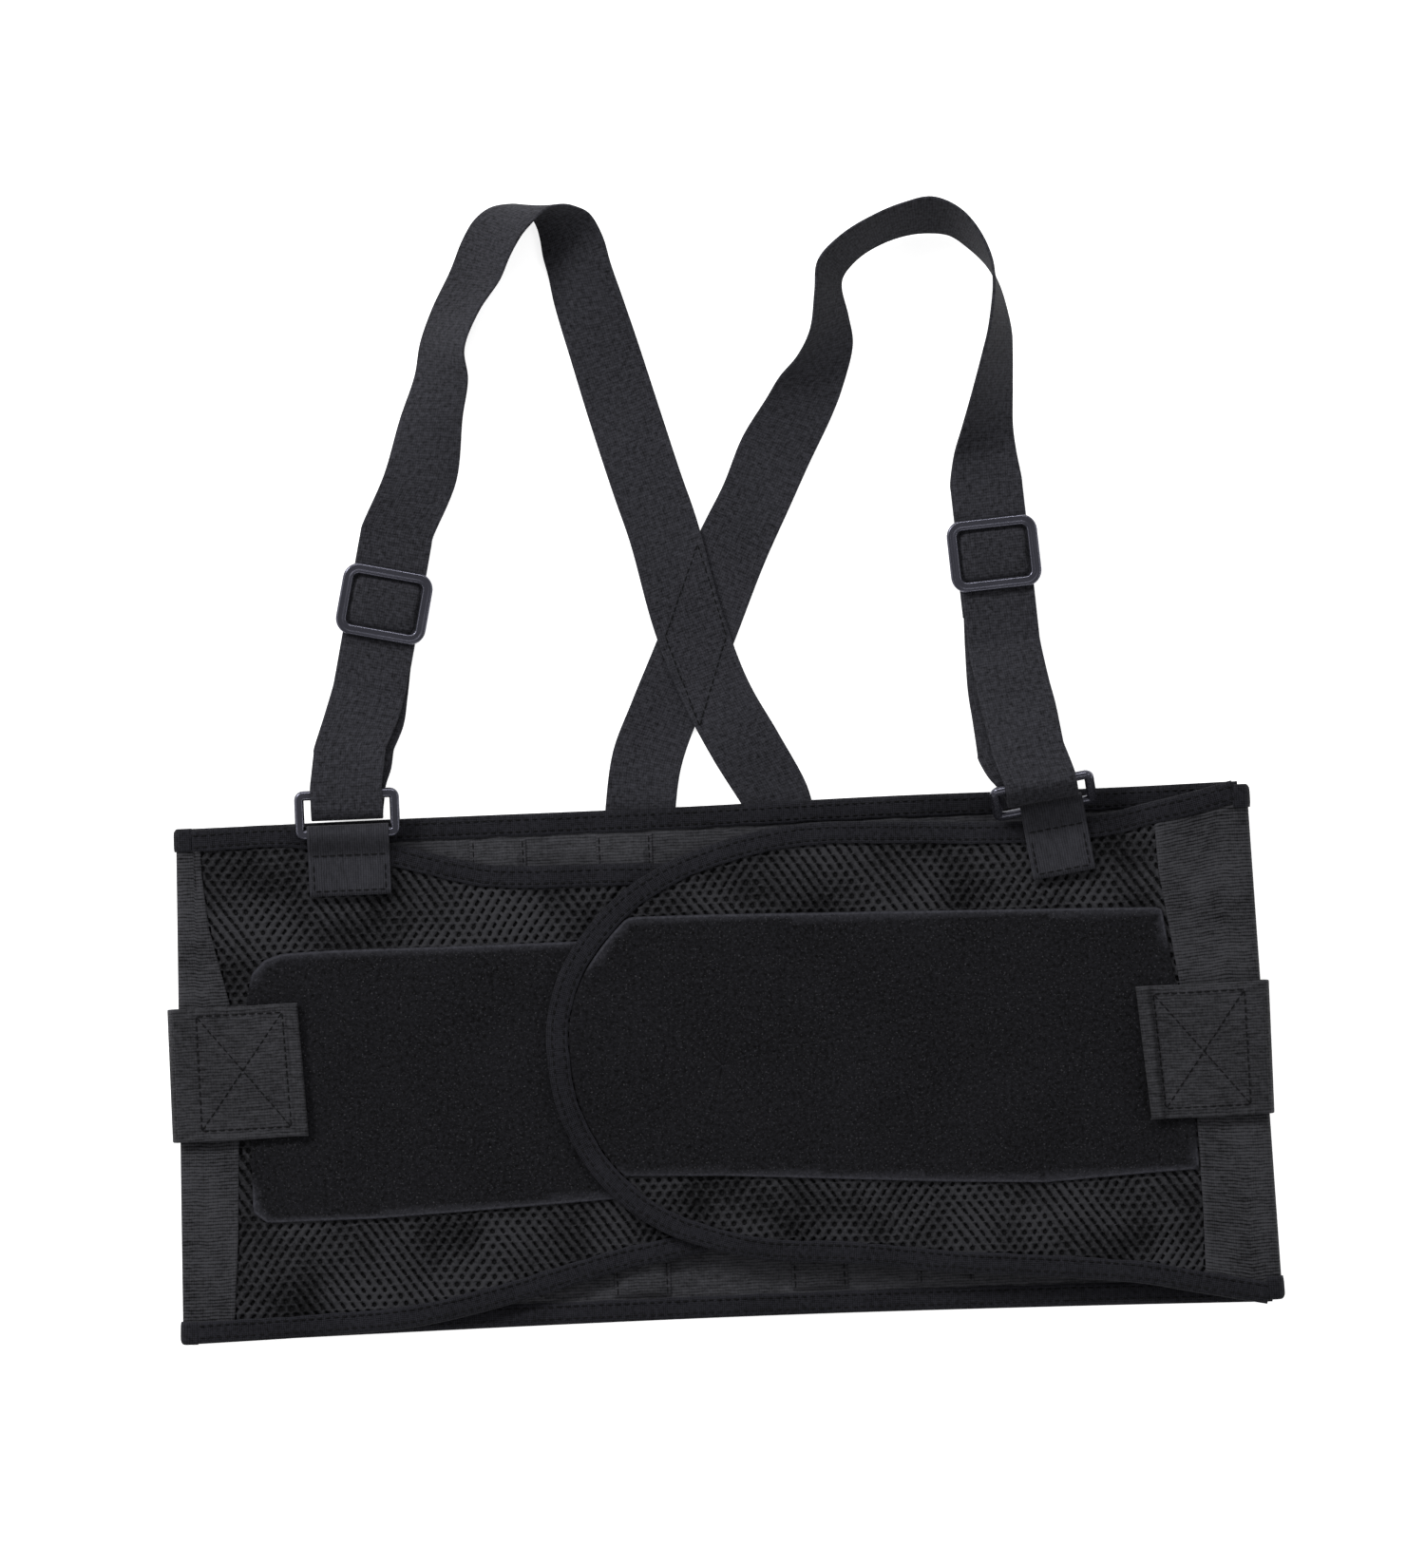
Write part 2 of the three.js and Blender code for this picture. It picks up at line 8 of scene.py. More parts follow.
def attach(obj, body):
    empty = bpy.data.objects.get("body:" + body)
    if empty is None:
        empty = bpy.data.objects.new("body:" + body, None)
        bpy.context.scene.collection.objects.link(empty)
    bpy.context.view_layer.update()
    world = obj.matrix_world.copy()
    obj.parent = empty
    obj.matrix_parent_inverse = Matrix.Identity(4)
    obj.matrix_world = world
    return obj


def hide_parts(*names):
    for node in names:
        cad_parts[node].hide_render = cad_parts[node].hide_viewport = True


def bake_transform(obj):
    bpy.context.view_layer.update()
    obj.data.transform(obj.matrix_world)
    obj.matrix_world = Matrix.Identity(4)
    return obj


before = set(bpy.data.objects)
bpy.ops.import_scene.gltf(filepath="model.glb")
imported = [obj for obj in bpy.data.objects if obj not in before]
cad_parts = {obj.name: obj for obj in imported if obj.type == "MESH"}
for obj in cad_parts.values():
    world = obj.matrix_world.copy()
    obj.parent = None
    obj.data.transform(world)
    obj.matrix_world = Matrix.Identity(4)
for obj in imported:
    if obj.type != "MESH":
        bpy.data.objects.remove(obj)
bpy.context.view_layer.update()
MM = 0.001
RNG = np.random.default_rng(11)

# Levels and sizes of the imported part, in millimetres
PANEL_Z = (2.4, 4.2)
FRONT_Z = {"left": (7.6, 9.6), "right": (12.0, 14.0)}
SIDE_X, SIDE_FLARE = 229.8, 0.028
SIDE_Y = (-107.5, 108.5)
HINGE_X = 226
WEBBING = 1.3
BINDING = 9.4
BAND_WIDTH = 57.0
FOLD_R = 3.35
RING = {"width": 45, "height": 21, "bar": 4.2, "thick": 3.6, "corner": 4}
SLIDER = {"width": 39, "height": 31, "bar": 4.6, "thick": 3, "corner": 7}
SLIDER_Z = 6.3
POCKETS = (-92, -38, 38, 92)
POCKET_Y = (-97.6, 100)
SEAM_X = 10.6
BAND_THICK = 1.1
STRAP_HALF = 15.4
PITCH_X, PITCH_Y = 4.5, 3.2


# Curves and outlines
def curve(points, per=8):
    """A centripetal Catmull-Rom line through the points, with so many steps between two."""
    p = np.asarray(points, float)
    p = np.vstack([2 * p[0] - p[1], p, 2 * p[-1] - p[-2]])
    s = np.arange(per)[:, None] / per
    out = []
    for i in range(1, len(p) - 2):
        d = [max(np.linalg.norm(p[i + k] - p[i + k - 1]), 1e-4) ** 0.5 for k in (0, 1, 2)]
        t1 = (p[i] - p[i - 1]) / d[0] - (p[i + 1] - p[i - 1]) / (d[0] + d[1]) + (p[i + 1] - p[i]) / d[1]
        t2 = (p[i + 1] - p[i]) / d[1] - (p[i + 2] - p[i]) / (d[1] + d[2]) + (p[i + 2] - p[i + 1]) / d[2]
        out.append(
            (2 * s**3 - 3 * s**2 + 1) * p[i]
            + (s**3 - 2 * s**2 + s) * t1 * d[1]
            + (3 * s**2 - 2 * s**3) * p[i + 1]
            + (s**3 - s**2) * t2 * d[1]
        )
    return np.vstack([*out, p[-2]])


def lengths(points):
    """How far along the line each of its points lies."""
    return np.concatenate([[0], np.cumsum(np.linalg.norm(np.diff(points, axis=0), axis=1))])


def spaced(points, step):
    """The line with its points so far apart."""
    p = np.asarray(points, float)
    length = lengths(p)
    at = np.linspace(0, length[-1], max(2, int(round(length[-1] / step)) + 1))
    return np.column_stack([np.interp(at, length, p[:, k]) for k in range(p.shape[1])])


def level(line, z):
    """The line at one height."""
    return np.column_stack([line, np.full(len(line), z)])


def offset(line, distance):
    """The line moved sideways, positive to its left."""
    along = np.gradient(line[:, :2], axis=0)
    along /= np.linalg.norm(along, axis=1)[:, None]
    moved = line.copy()
    moved[:, 0] -= along[:, 1] * distance
    moved[:, 1] += along[:, 0] * distance
    return moved


def away(points, line, closed=True):
    """How far each point lies from the line."""
    a = np.asarray(line, float)[:, :2]
    b = np.roll(a, -1, axis=0) if closed else a[1:]
    a = a if closed else a[:-1]
    best = np.full(len(points), 1e9)
    for p, q in zip(a, b):
        d = q - p
        t = np.clip(((points - p) @ d) / max(d @ d, 1e-12), 0, 1)
        best = np.minimum(best, np.linalg.norm(points - p - t[:, None] * d, axis=1))
    return best


def within(points, polygon):
    """Which points lie inside the polygon."""
    poly = np.asarray(polygon, float)[:, :2]
    x, y = points[:, 0], points[:, 1]
    inside = np.zeros(len(points), bool)
    for (x0, y0), (x1, y1) in zip(poly, np.roll(poly, -1, axis=0)):
        if y0 != y1:
            inside ^= ((y0 > y) != (y1 > y)) & (x < (x1 - x0) * (y - y0) / (y1 - y0) + x0)
    return inside


def area_of(line):
    """The signed area inside a closed line."""
    return 0.5 * np.sum(line[:, 0] * np.roll(line[:, 1], -1) - np.roll(line[:, 0], -1) * line[:, 1])


def staggered(outline, step_x, step_y):
    """Points inside the outline, in rows of which every second one is moved by half a step."""
    x = np.arange(outline[:, 0].min(), outline[:, 0].max(), step_x)
    y = np.arange(outline[:, 1].min(), outline[:, 1].max(), step_y)
    gx, gy = np.meshgrid(x, y)
    gx[1::2] += step_x / 2
    points = np.column_stack([gx.ravel(), gy.ravel()])
    return points[within(points, outline)]


def ripple(x, y, size):
    """A smooth uneven field between about -1 and 1, with swells of about this size."""
    k = 2 * math.pi / size
    return (
        np.sin(k * (0.83 * x + 0.41 * y) + 1.3)
        + np.sin(k * (-0.37 * x + 0.92 * y) + 4.1)
        + np.sin(k * (0.59 * x - 0.71 * y) * 1.7 + 0.4)
        + np.sin(k * (1.31 * x + 1.07 * y) * 1.3 + 2.2)
    ) / 4


# Meshes
def build(name, points, faces, look, uv=None, rim=None):
    """A piece from points in millimetres. Its cloth coordinates, in metres, go with it as a UV map."""
    mesh = bpy.data.meshes.new(name)
    points = np.asarray(points, float)
    mesh.from_pydata((points * MM).tolist(), [], faces)
    uv = points[:, :2] if uv is None else np.asarray(uv, float)
    corners = np.zeros(len(mesh.loops), np.int32)
    mesh.loops.foreach_get("vertex_index", corners)
    layer = mesh.uv_layers.new(name="Weave")
    layer.data.foreach_set("uv", (uv[corners] * MM).astype(np.float32).ravel())
    mask = mesh.attributes.new("rim", "FLOAT", "POINT")
    mask.data.foreach_set("value", (np.zeros(len(points)) if rim is None else rim).astype(np.float32))
    mesh.polygons.foreach_set("use_smooth", np.ones(len(mesh.polygons), bool))
    mesh.materials.append(LOOKS[look])
    mesh.validate()
    piece = bpy.data.objects.new(name, mesh)
    bpy.context.scene.collection.objects.link(piece)
    return piece


def normals_of(grid):
    """Unit normals of a grid of points, with rows along and columns across."""
    n = np.cross(np.gradient(grid, axis=1), np.gradient(grid, axis=0))
    return n / np.maximum(np.linalg.norm(n, axis=2, keepdims=True), 1e-9)


def rounded(share, least=0.0):
    """How full a rounded edge is at this share of its radius inwards."""
    return np.sqrt(np.clip(1 - (1 - np.clip(share, 0, 1)) ** 2, least, 1))


def tube(rows, sides, base=0):
    """Faces of rings of points joined into a closed tube."""
    k = base + np.arange(rows * sides).reshape(rows, sides)
    after = np.roll(k, -1, axis=1)
    walls = np.stack([k[:-1], after[:-1], after[1:], k[1:]], -1).reshape(-1, 4)
    return [*walls.tolist(), k[0, ::-1].tolist(), k[-1].tolist()]


def slab(name, grid, thick, look, normals=None, rim=0.5, start=0.0):
    """A cloth with rounded sides whose middle is this grid, with rows along and columns across."""
    n, m = grid.shape[:2]
    normals = normals_of(grid) if normals is None else normals
    across = np.zeros((n, m))
    across[:, 1:] = np.cumsum(np.linalg.norm(np.diff(grid, axis=1), axis=2), axis=1)
    edge = np.minimum(across, across[:, -1:] - across)
    thick = np.broadcast_to(np.asarray(thick, float).reshape(-1, 1), (n, 1))
    half = (thick / 2 * rounded(edge / rim, 0.12))[:, :, None]
    points = np.vstack([(grid + normals * half).reshape(-1, 3), (grid - normals * half).reshape(-1, 3)])
    k = np.arange(n * m).reshape(n, m)
    top = np.stack([k[:-1, :-1], k[:-1, 1:], k[1:, 1:], k[1:, :-1]], -1).reshape(-1, 4)
    low = top[:, ::-1] + n * m
    ring = np.concatenate([k[0, :], k[1:, -1], k[-1, -2::-1], k[-2:0:-1, 0]])
    after = np.roll(ring, -1)
    wall = np.stack([after, ring, ring + n * m, after + n * m], -1)
    along = start + lengths(grid[:, m // 2])
    uv = np.stack([across - across[:, -1:] / 2, np.broadcast_to(along[:, None], (n, m))], -1).reshape(-1, 2)
    mask = np.clip(1 - edge / 1.4, 0, 1).reshape(-1)
    faces = np.vstack([top, low, wall]).tolist()
    return build(name, points, faces, look, np.vstack([uv, uv]), np.tile(mask, 2))


def columns(count):
    """Places across a strip, close together at its two edges."""
    inner = np.linspace(0, 1, count)
    return np.unique(np.concatenate([[0, 0.004, 0.012, 0.03], inner[1:-1], [0.97, 0.988, 0.996, 1]]))


def strip(stations, per=8, count=11):
    """The middle surface of a strip from stations of its left and right edge, [lx, ly, lz, rx, ry, rz]."""
    stations = np.asarray(stations, float)
    left = curve(stations[:, :3], per)
    right = curve(stations[:, 3:], per)
    t = columns(count)[None, :, None]
    return left[:, None] * (1 - t) + right[:, None] * t


def turned(points, at, degrees):
    """Points of a local frame, placed by its origin and its turn about +Z."""
    c, s = math.cos(math.radians(degrees)), math.sin(math.radians(degrees))
    p = np.asarray(points, float)
    out = p.copy()
    out[..., 0] = p[..., 0] * c - p[..., 1] * s + at[0]
    out[..., 1] = p[..., 0] * s + p[..., 1] * c + at[1]
    out[..., 2] = p[..., 2] + at[2]
    return out


def even_strip(path, half, per, count, shift=0.0):
    """A strip of even width along the side view of its path, [along, height]."""
    return strip([[shift - half, s, z, shift + half, s, z] for s, z in path], per, count)


def cloth(name, outline, low, high, look, step=3.0, edge=1.0, lift=None, rim_width=1.6, rim_from=0.0):
    """A flat cloth of this outline with rounded edges. Lift raises it by place."""
    line = spaced(np.vstack([outline, outline[:1]])[:, :2], min(step, 2.5))[:-1]
    if area_of(line) < 0:
        line = line[::-1]
    rings = [line]
    for inset in (0.07, 0.3, 0.65, 1.0):
        ring = offset(np.vstack([line[-1:], line, line[:1]]), inset * edge)[1:-1]
        keep = within(ring, line) & (away(ring, line) > inset * edge * 0.8)
        rings.append(ring[keep])
    inner = staggered(line, step, step * 0.87)
    inner = inner[away(inner, line) > edge + step * 0.45]
    points = np.vstack([*rings, inner])
    made = geometry.delaunay_2d_cdt([Vector(p) for p in points], [], [list(range(len(line)))], 1, 1e-4)
    flat = np.array([list(v) for v in made[0]])
    faces = np.array([f for f in made[2] if len(f) == 3])
    a, b, c = (flat[faces[:, k]] for k in range(3))
    turn = (b[:, 0] - a[:, 0]) * (c[:, 1] - a[:, 1]) - (b[:, 1] - a[:, 1]) * (c[:, 0] - a[:, 0])
    faces[turn < 0] = faces[turn < 0][:, ::-1]
    far = away(flat, line)
    middle = np.full(len(flat), (low + high) / 2)
    if lift:
        middle = middle + lift(flat[:, 0], flat[:, 1])
    half = (high - low) / 2 * rounded(far / edge)
    index = np.arange(len(flat))
    below = np.where(far < 1e-3, index, index + len(flat))
    all_faces = np.vstack([faces, below[faces][:, ::-1]])
    used, back = np.unique(all_faces, return_inverse=True)
    points = np.vstack([np.column_stack([flat, middle + half]), np.column_stack([flat, middle - half])])[used]
    mask = np.exp(-((np.tile(far, 2)[used] - 0.5 * edge) / rim_width) ** 2)
    if rim_from:
        mask *= np.clip((np.abs(points[:, 1]) - rim_from) / 8, 0, 1)
    return build(name, points, back.reshape(-1, 3).tolist(), look, points[:, :2], mask)


def stitches(name, lines, body, slot, length=2.7, gap=0.7, radius=0.26):
    """Rows of sewing thread: each stitch is a short round arc that dips into the cloth at both ends."""
    ends = np.array([-0.5, -0.42, -0.2, 0, 0.2, 0.42, 0.5])
    bulk = np.array([0.3, 0.8, 1.0, 1.05, 1.0, 0.8, 0.3])
    sides = 6
    turn = np.arange(sides) * (2 * math.pi / sides)
    points, faces, uv = [], [], []
    for line in lines:
        line = np.asarray(line, float)
        whole = np.linalg.norm(np.diff(line, axis=0), axis=1).sum()
        count = max(1, int(whole / (length + gap)))
        fine = spaced(line, whole / (count * 4))
        for i in range(count):
            a, b = fine[i * 4], fine[min(i * 4 + 4, len(fine) - 1)]
            along = b - a
            size = np.linalg.norm(along)
            if size < 1e-6:
                continue
            along /= size
            side = np.cross(along, (0, 0, 1))
            side /= max(np.linalg.norm(side), 1e-6)
            up = np.cross(side, along)
            mid = (a + b) / 2 + side * RNG.uniform(-0.06, 0.06)
            span = size * length / (length + gap)
            faces += tube(len(ends), sides, len(points) * len(ends) * sides)
            ring = []
            for s, w in zip(ends, bulk):
                centre = mid + along * s * span + up * radius * (0.55 - 5.2 * s * s)
                ring.append(centre + radius * w * (np.cos(turn)[:, None] * side + np.sin(turn)[:, None] * up))
            points.append(np.vstack(ring))
            uv.append(np.column_stack([np.repeat(ends * span, sides), np.tile(turn, len(ends))]))
    ride(build(name, np.vstack(points), faces, "thread", np.vstack(uv)), body, slot)


# Materials
class Nodes:
    """A small builder for node materials."""

    def __init__(self, name):
        self.material = bpy.data.materials.new(name)
        self.material.use_nodes = True
        self.tree = self.material.node_tree
        self.tree.nodes.clear()
        self.out = self.add("ShaderNodeOutputMaterial")
        self.shader = self.add("ShaderNodeBsdfPrincipled")
        self.tree.links.new(self.shader.outputs[0], self.out.inputs[0])

    def add(self, kind, **settings):
        node = self.tree.nodes.new(kind)
        for key, value in settings.items():
            setattr(node, key, value)
        return node

    def put(self, socket, value):
        if isinstance(value, bpy.types.NodeSocket):
            self.tree.links.new(value, socket)
        else:
            socket.default_value = value

    def math(self, operation, a, b=None, c=None, clamp=False):
        node = self.add("ShaderNodeMath", operation=operation, use_clamp=clamp)
        for socket, value in zip(node.inputs, (a, b, c)):
            if value is not None:
                self.put(socket, value)
        return node.outputs[0]

    def cloth_xy(self):
        """Cloth coordinates in metres: across and along."""
        uv = self.add("ShaderNodeUVMap", uv_map="Weave")
        parts = self.add("ShaderNodeSeparateXYZ")
        self.put(parts.inputs[0], uv.outputs[0])
        return uv.outputs[0], parts.outputs[0], parts.outputs[1]

    def noise(self, vector, scale, detail=2.0, roughness=0.5):
        node = self.add("ShaderNodeTexNoise")
        self.put(node.inputs["Vector"], vector)
        node.inputs["Scale"].default_value = scale
        node.inputs["Detail"].default_value = detail
        node.inputs["Roughness"].default_value = roughness
        return node.outputs[0]

    def wave(self, value, pitch, power=1.0):
        """Rounded ribs with this pitch in metres, from 0 in the groove to 1 on the rib."""
        s = self.math("ABSOLUTE", self.math("SINE", self.math("MULTIPLY", value, math.pi / pitch)))
        return s if power == 1.0 else self.math("POWER", s, power)

    def spread(self, value, gain):
        """The value with its contrast raised about the middle."""
        return self.math("MULTIPLY_ADD", value, gain, 0.5 - gain / 2, clamp=True)

    def blend(self, factor, dark, light):
        node = self.add("ShaderNodeMix", data_type="RGBA")
        self.put(node.inputs[0], factor)
        self.put(node.inputs[6], dark)
        self.put(node.inputs[7], light)
        return node.outputs[2]

    def finish(self, colour, height=None, depth=0.0002, **values):
        self.put(self.shader.inputs["Base Color"], colour)
        for key, value in values.items():
            self.put(self.shader.inputs[key.replace("_", " ")], value)
        if height is not None:
            bump = self.add("ShaderNodeBump")
            bump.inputs["Distance"].default_value = depth
            bump.inputs["Strength"].default_value = 1.0
            self.put(bump.inputs["Height"], height)
            self.put(self.shader.inputs["Normal"], bump.outputs[0])
        return self.material


def tone(level, blue=1.0):
    """A dark neutral colour, a little bluer where asked."""
    return (level, level, level * blue, 1.0)


def fabric(
    name, dark, light, kind, pitch, depth=0.00025, blue=1.12, rough=0.9, speck=0.5, gain=1.0, edge=0.0,
    swell=0.7, lint=0.0, hem=None,
):
    """Woven, ribbed or brushed cloth. Pitch is the spacing of its yarns in metres, across and along."""
    n = Nodes(name)
    uv, x, y = n.cloth_xy()
    # Broad lighter and darker patches, scaled by swell. At the default they are uneven tone. Where swell is
    # raised they are painted light: painted shade of the mesh's undulations and painted sheen on the side
    # elastic.
    uneven_tone_and_painted_light = n.noise(uv, 26, 2.0)
    fleck = n.spread(n.noise(uv, 620, 3.0, 0.75), 3.0)
    long_way = n.add("ShaderNodeCombineXYZ")
    n.put(long_way.inputs[0], n.math("MULTIPLY", x, 0.28 if kind == "rib_across" else 1.0))
    n.put(long_way.inputs[1], n.math("MULTIPLY", y, 0.28 if kind == "rib_along" else 1.0))
    streak = n.spread(n.noise(long_way.outputs[0], 480, 2.0, 0.65), 2.6)
    bent = [n.math("MULTIPLY_ADD", n.noise(uv, 140, 1.0), p * 0.8, v) for p, v in zip(pitch, (x, y))]
    if kind == "weave":
        body = n.math("POWER", n.math("MULTIPLY", n.wave(bent[0], pitch[0]), n.wave(bent[1], pitch[1])), 0.5)
    elif kind == "pile":
        body = n.spread(n.noise(uv, 1 / pitch[0], 4.0, 0.7), 1.8)
    else:
        rib, yarn = (1, 0) if kind == "rib_across" else (0, 1)
        notch = n.math("MULTIPLY_ADD", n.wave(bent[yarn], pitch[yarn]), 0.3, 0.7)
        body = n.math("MULTIPLY", n.wave(bent[rib], pitch[rib], 0.7), notch)
    loose = n.math("MULTIPLY", n.math("ADD", fleck, streak), 0.5)
    grain = n.math("MULTIPLY_ADD", loose, speck, n.math("MULTIPLY", body, 1 - speck))
    level = n.math("MULTIPLY_ADD", n.math("SUBTRACT", uneven_tone_and_painted_light, 0.5), swell, n.spread(grain, gain), clamp=True)
    if edge or hem:
        rim = n.add("ShaderNodeAttribute", attribute_name="rim").outputs["Fac"]
    # Lighter where the rim attribute is set. On the knit mesh this is a painted highlight on the yarn crests,
    # with painted shade down the hole walls. On strips and tapes it lightens a band along their edges.
    if edge:
        level = n.math("MULTIPLY_ADD", rim, edge, level, clamp=True)
    colour = n.blend(level, tone(dark, blue), tone(light, blue))
    if lint:
        fibre = n.math("MULTIPLY_ADD", n.noise(uv, 1150, 1.0), 12, -7.7, clamp=True)
        colour = n.blend(fibre, colour, tone(lint, 1.1))
    if hem:
        worn = n.math("MULTIPLY_ADD", loose, 0.8, 0.4)
        colour = n.blend(n.math("MULTIPLY", rim, worn), colour, tone(hem, blue))
    return n.finish(
        colour, grain, depth, Roughness=rough, Sheen_Weight=0.02, Sheen_Roughness=0.4, Specular_IOR_Level=0.1,
    )


def plastic(name, level, rough):
    """Glossy moulded plastic with a fine grain."""
    n = Nodes(name)
    place = n.add("ShaderNodeTexCoord").outputs["Object"]
    grain = n.noise(place, 1800, 2.0)
    smear = n.noise(place, 60, 3.0)
    roughness = n.math("MULTIPLY_ADD", smear, 0.16, n.math("MULTIPLY_ADD", grain, 0.06, rough))
    colour = n.blend(smear, tone(level * 0.7, 1.25), tone(level * 1.3, 1.25))
    return n.finish(
        colour, grain, 0.00002, Roughness=roughness, IOR=1.9, Specular_IOR_Level=0.5,
        Specular_Tint=(0.80, 0.80, 1.0, 1.0),
    )


LOOKS = {
    "ribbed": fabric("ribbed_elastic", 0.004, 0.052, "rib_across", (0.0011, 0.0013), speck=0.6, gain=1.3),
    # swell=1.3 here paints broad patches of sheen.
    "side": fabric(
        "side_elastic", 0.002, 0.042, "rib_across", (0.0010, 0.0014), gain=1.9, edge=0.3, swell=1.3,
    ),
    "band": fabric(
        "pull_elastic", 0.003, 0.040, "rib_along", (0.0013, 0.0011), speck=0.6, gain=1.5, edge=0.2,
    ),
    # edge=0.3 paints a highlight on the yarn crests and shade down the hole walls.
    # swell=2.6 paints broad darker patches of shade from the mesh's undulations.
    "mesh": fabric("mesh_yarn", 0.001, 0.029, "pile", (0.0012, 0.0012), gain=1.5, edge=0.3, swell=2.6),
    # The backing is kept far darker than the face yarn. This is partly its own dark tone and partly painted
    # shade seen through the mesh holes.
    "backing": fabric("mesh_backing", 0.001, 0.008, "weave", (0.0012, 0.0012)),
    "velvet": fabric(
        "brushed_loop", 0.0006, 0.0116, "pile", (0.0013, 0.0013), depth=0.0004, blue=1.22, gain=2.0,
        swell=0.45, lint=0.036, hem=0.042,
    ),
    "tape": fabric("binding_tape", 0.002, 0.018, "weave", (0.0008, 0.0009), blue=1.25, gain=2.0, edge=0.4),
    "webbing": fabric(
        "ring_tab_webbing", 0.005, 0.037, "rib_along", (0.00105, 0.0009), blue=1.2, edge=0.15,
    ),
    "strap": fabric(
        "suspender_webbing", 0.004, 0.037, "weave", (0.0010, 0.0012), blue=1.2, speck=0.7, gain=1.5,
        edge=0.1, swell=0.4,
    ),
    "thread": fabric("sewing_thread", 0.002, 0.010, "weave", (0.0005, 0.0003), rough=0.7, speck=0.2),
    "hook": fabric("hook_tape", 0.006, 0.022, "weave", (0.0008, 0.0008), rough=0.7),
    "plastic": plastic("buckle_plastic", 0.010, 0.13),
    "stay": plastic("stay_plastic", 0.08, 0.42),
}


# Outlines of the panels
LEFT_EDGE = [
    [-222.6, 109], [-183, 109.5], [-160, 106], [-138, 100], [-110, 92], [-94, 88.5], [-25, 86.5], [4, 83],
    [27, 74], [45, 59], [56, 40], [60, 18], [59, -4], [54, -24], [44, -42], [30, -57], [12, -69],
    [-7, -77.5], [-49, -86], [-76, -93], [-111, -101.5], [-138, -106], [-165, -107.5], [-191, -108.3],
    [-228.6, -109],
]
RIGHT_EDGE = [
    [228.6, -111], [199, -105], [175, -100], [134, -95.5], [94, -92], [53, -86.5], [12, -83], [-8, -77.5],
    [-25, -71], [-42, -60], [-56, -45], [-65, -30], [-71, -14], [-73.5, 3], [-73.5, 20], [-68, 40],
    [-59, 55], [-42, 73], [-21, 86], [1, 94], [20, 98.5], [42, 101], [82, 100], [130, 98], [167, 99.5],
    [184, 103], [204, 107], [222.6, 111.5],
]
BORDERS = {
    "left": [[-221.2, 125], [-221.2, 92], [-219, 68], [-211.5, 35], [-210, -24], [-212, -65], [-217, -125]],
    "right": [[190, 125], [192, 80], [195, 57], [199, 28], [204, -34], [205, -70], [205, -125]],
}
FIELDS = {
    "left": [
        [-202, 36], [-199.5, 47], [-194, 53], [-186, 55.5], [-165, 56], [-104, 55.5], [70, 55], [70, -56],
        [-48, -55.5], [-108, -58], [-149, -59.5], [-197, -59.5], [-203, -55],
    ],
    "right": [
        [-90, 65.5], [0, 64.5], [60, 63], [141, 61], [190.5, 59.5], [196, 20], [201, -34], [202, -53],
        [177, -54], [136, -56], [95, -54], [0, -47.5], [-90, -44],
    ],
}
BACK_TOP = [[-225.4, 109.5], [-130, 110], [-20, 110], [82, 111], [168, 110.5], [225.4, 111]]
BACK_BOTTOM = [[231.2, -110.5], [154, -109], [32, -107.5], [-70, -107.5], [-191, -108.5], [-231.2, -109]]


def fold_x(y):
    """Where the sides are folded, as a distance from the middle."""
    return SIDE_X - SIDE_FLARE * y


def border_x(side, y):
    """Where the mesh ends and the side elastic begins."""
    points = np.array(BORDERS[side])[::-1]
    return np.interp(y, points[:, 1], points[:, 0])


def ride(piece, body, slot, *nodes):
    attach(piece, body)
    if nodes:
        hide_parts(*nodes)


def bend(piece, a, b, start, end, slot, *nodes):
    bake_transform(piece)
    if nodes:
        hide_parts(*nodes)


# Camera, light and floor
VIEW_HEIGHT = 0.6716
CAMERA_AT = (0.0010, 0.1201, 5.0)
CAMERA_TURN = -2.43
LAMPS = (
    ("key", (-1.5, 1.5, 1.5), (0.6, 0.6), 38),
    ("far_strip", (0.1, 2.0, 1.7), (1.8, 0.3), 26),
    ("near_strip", (0.1, -1.7, 1.6), (1.8, 0.45), 8),
    ("left_strip", (-2.0, 0.1, 1.6), (1.8, 0.45), 8),
    ("right_strip", (2.0, 0.1, 1.6), (1.8, 0.45), 9),
)
FLOOR = [(-6, -6, -0.0005), (6, -6, -0.0005), (6, 6, -0.0005), (-6, 6, -0.0005)]


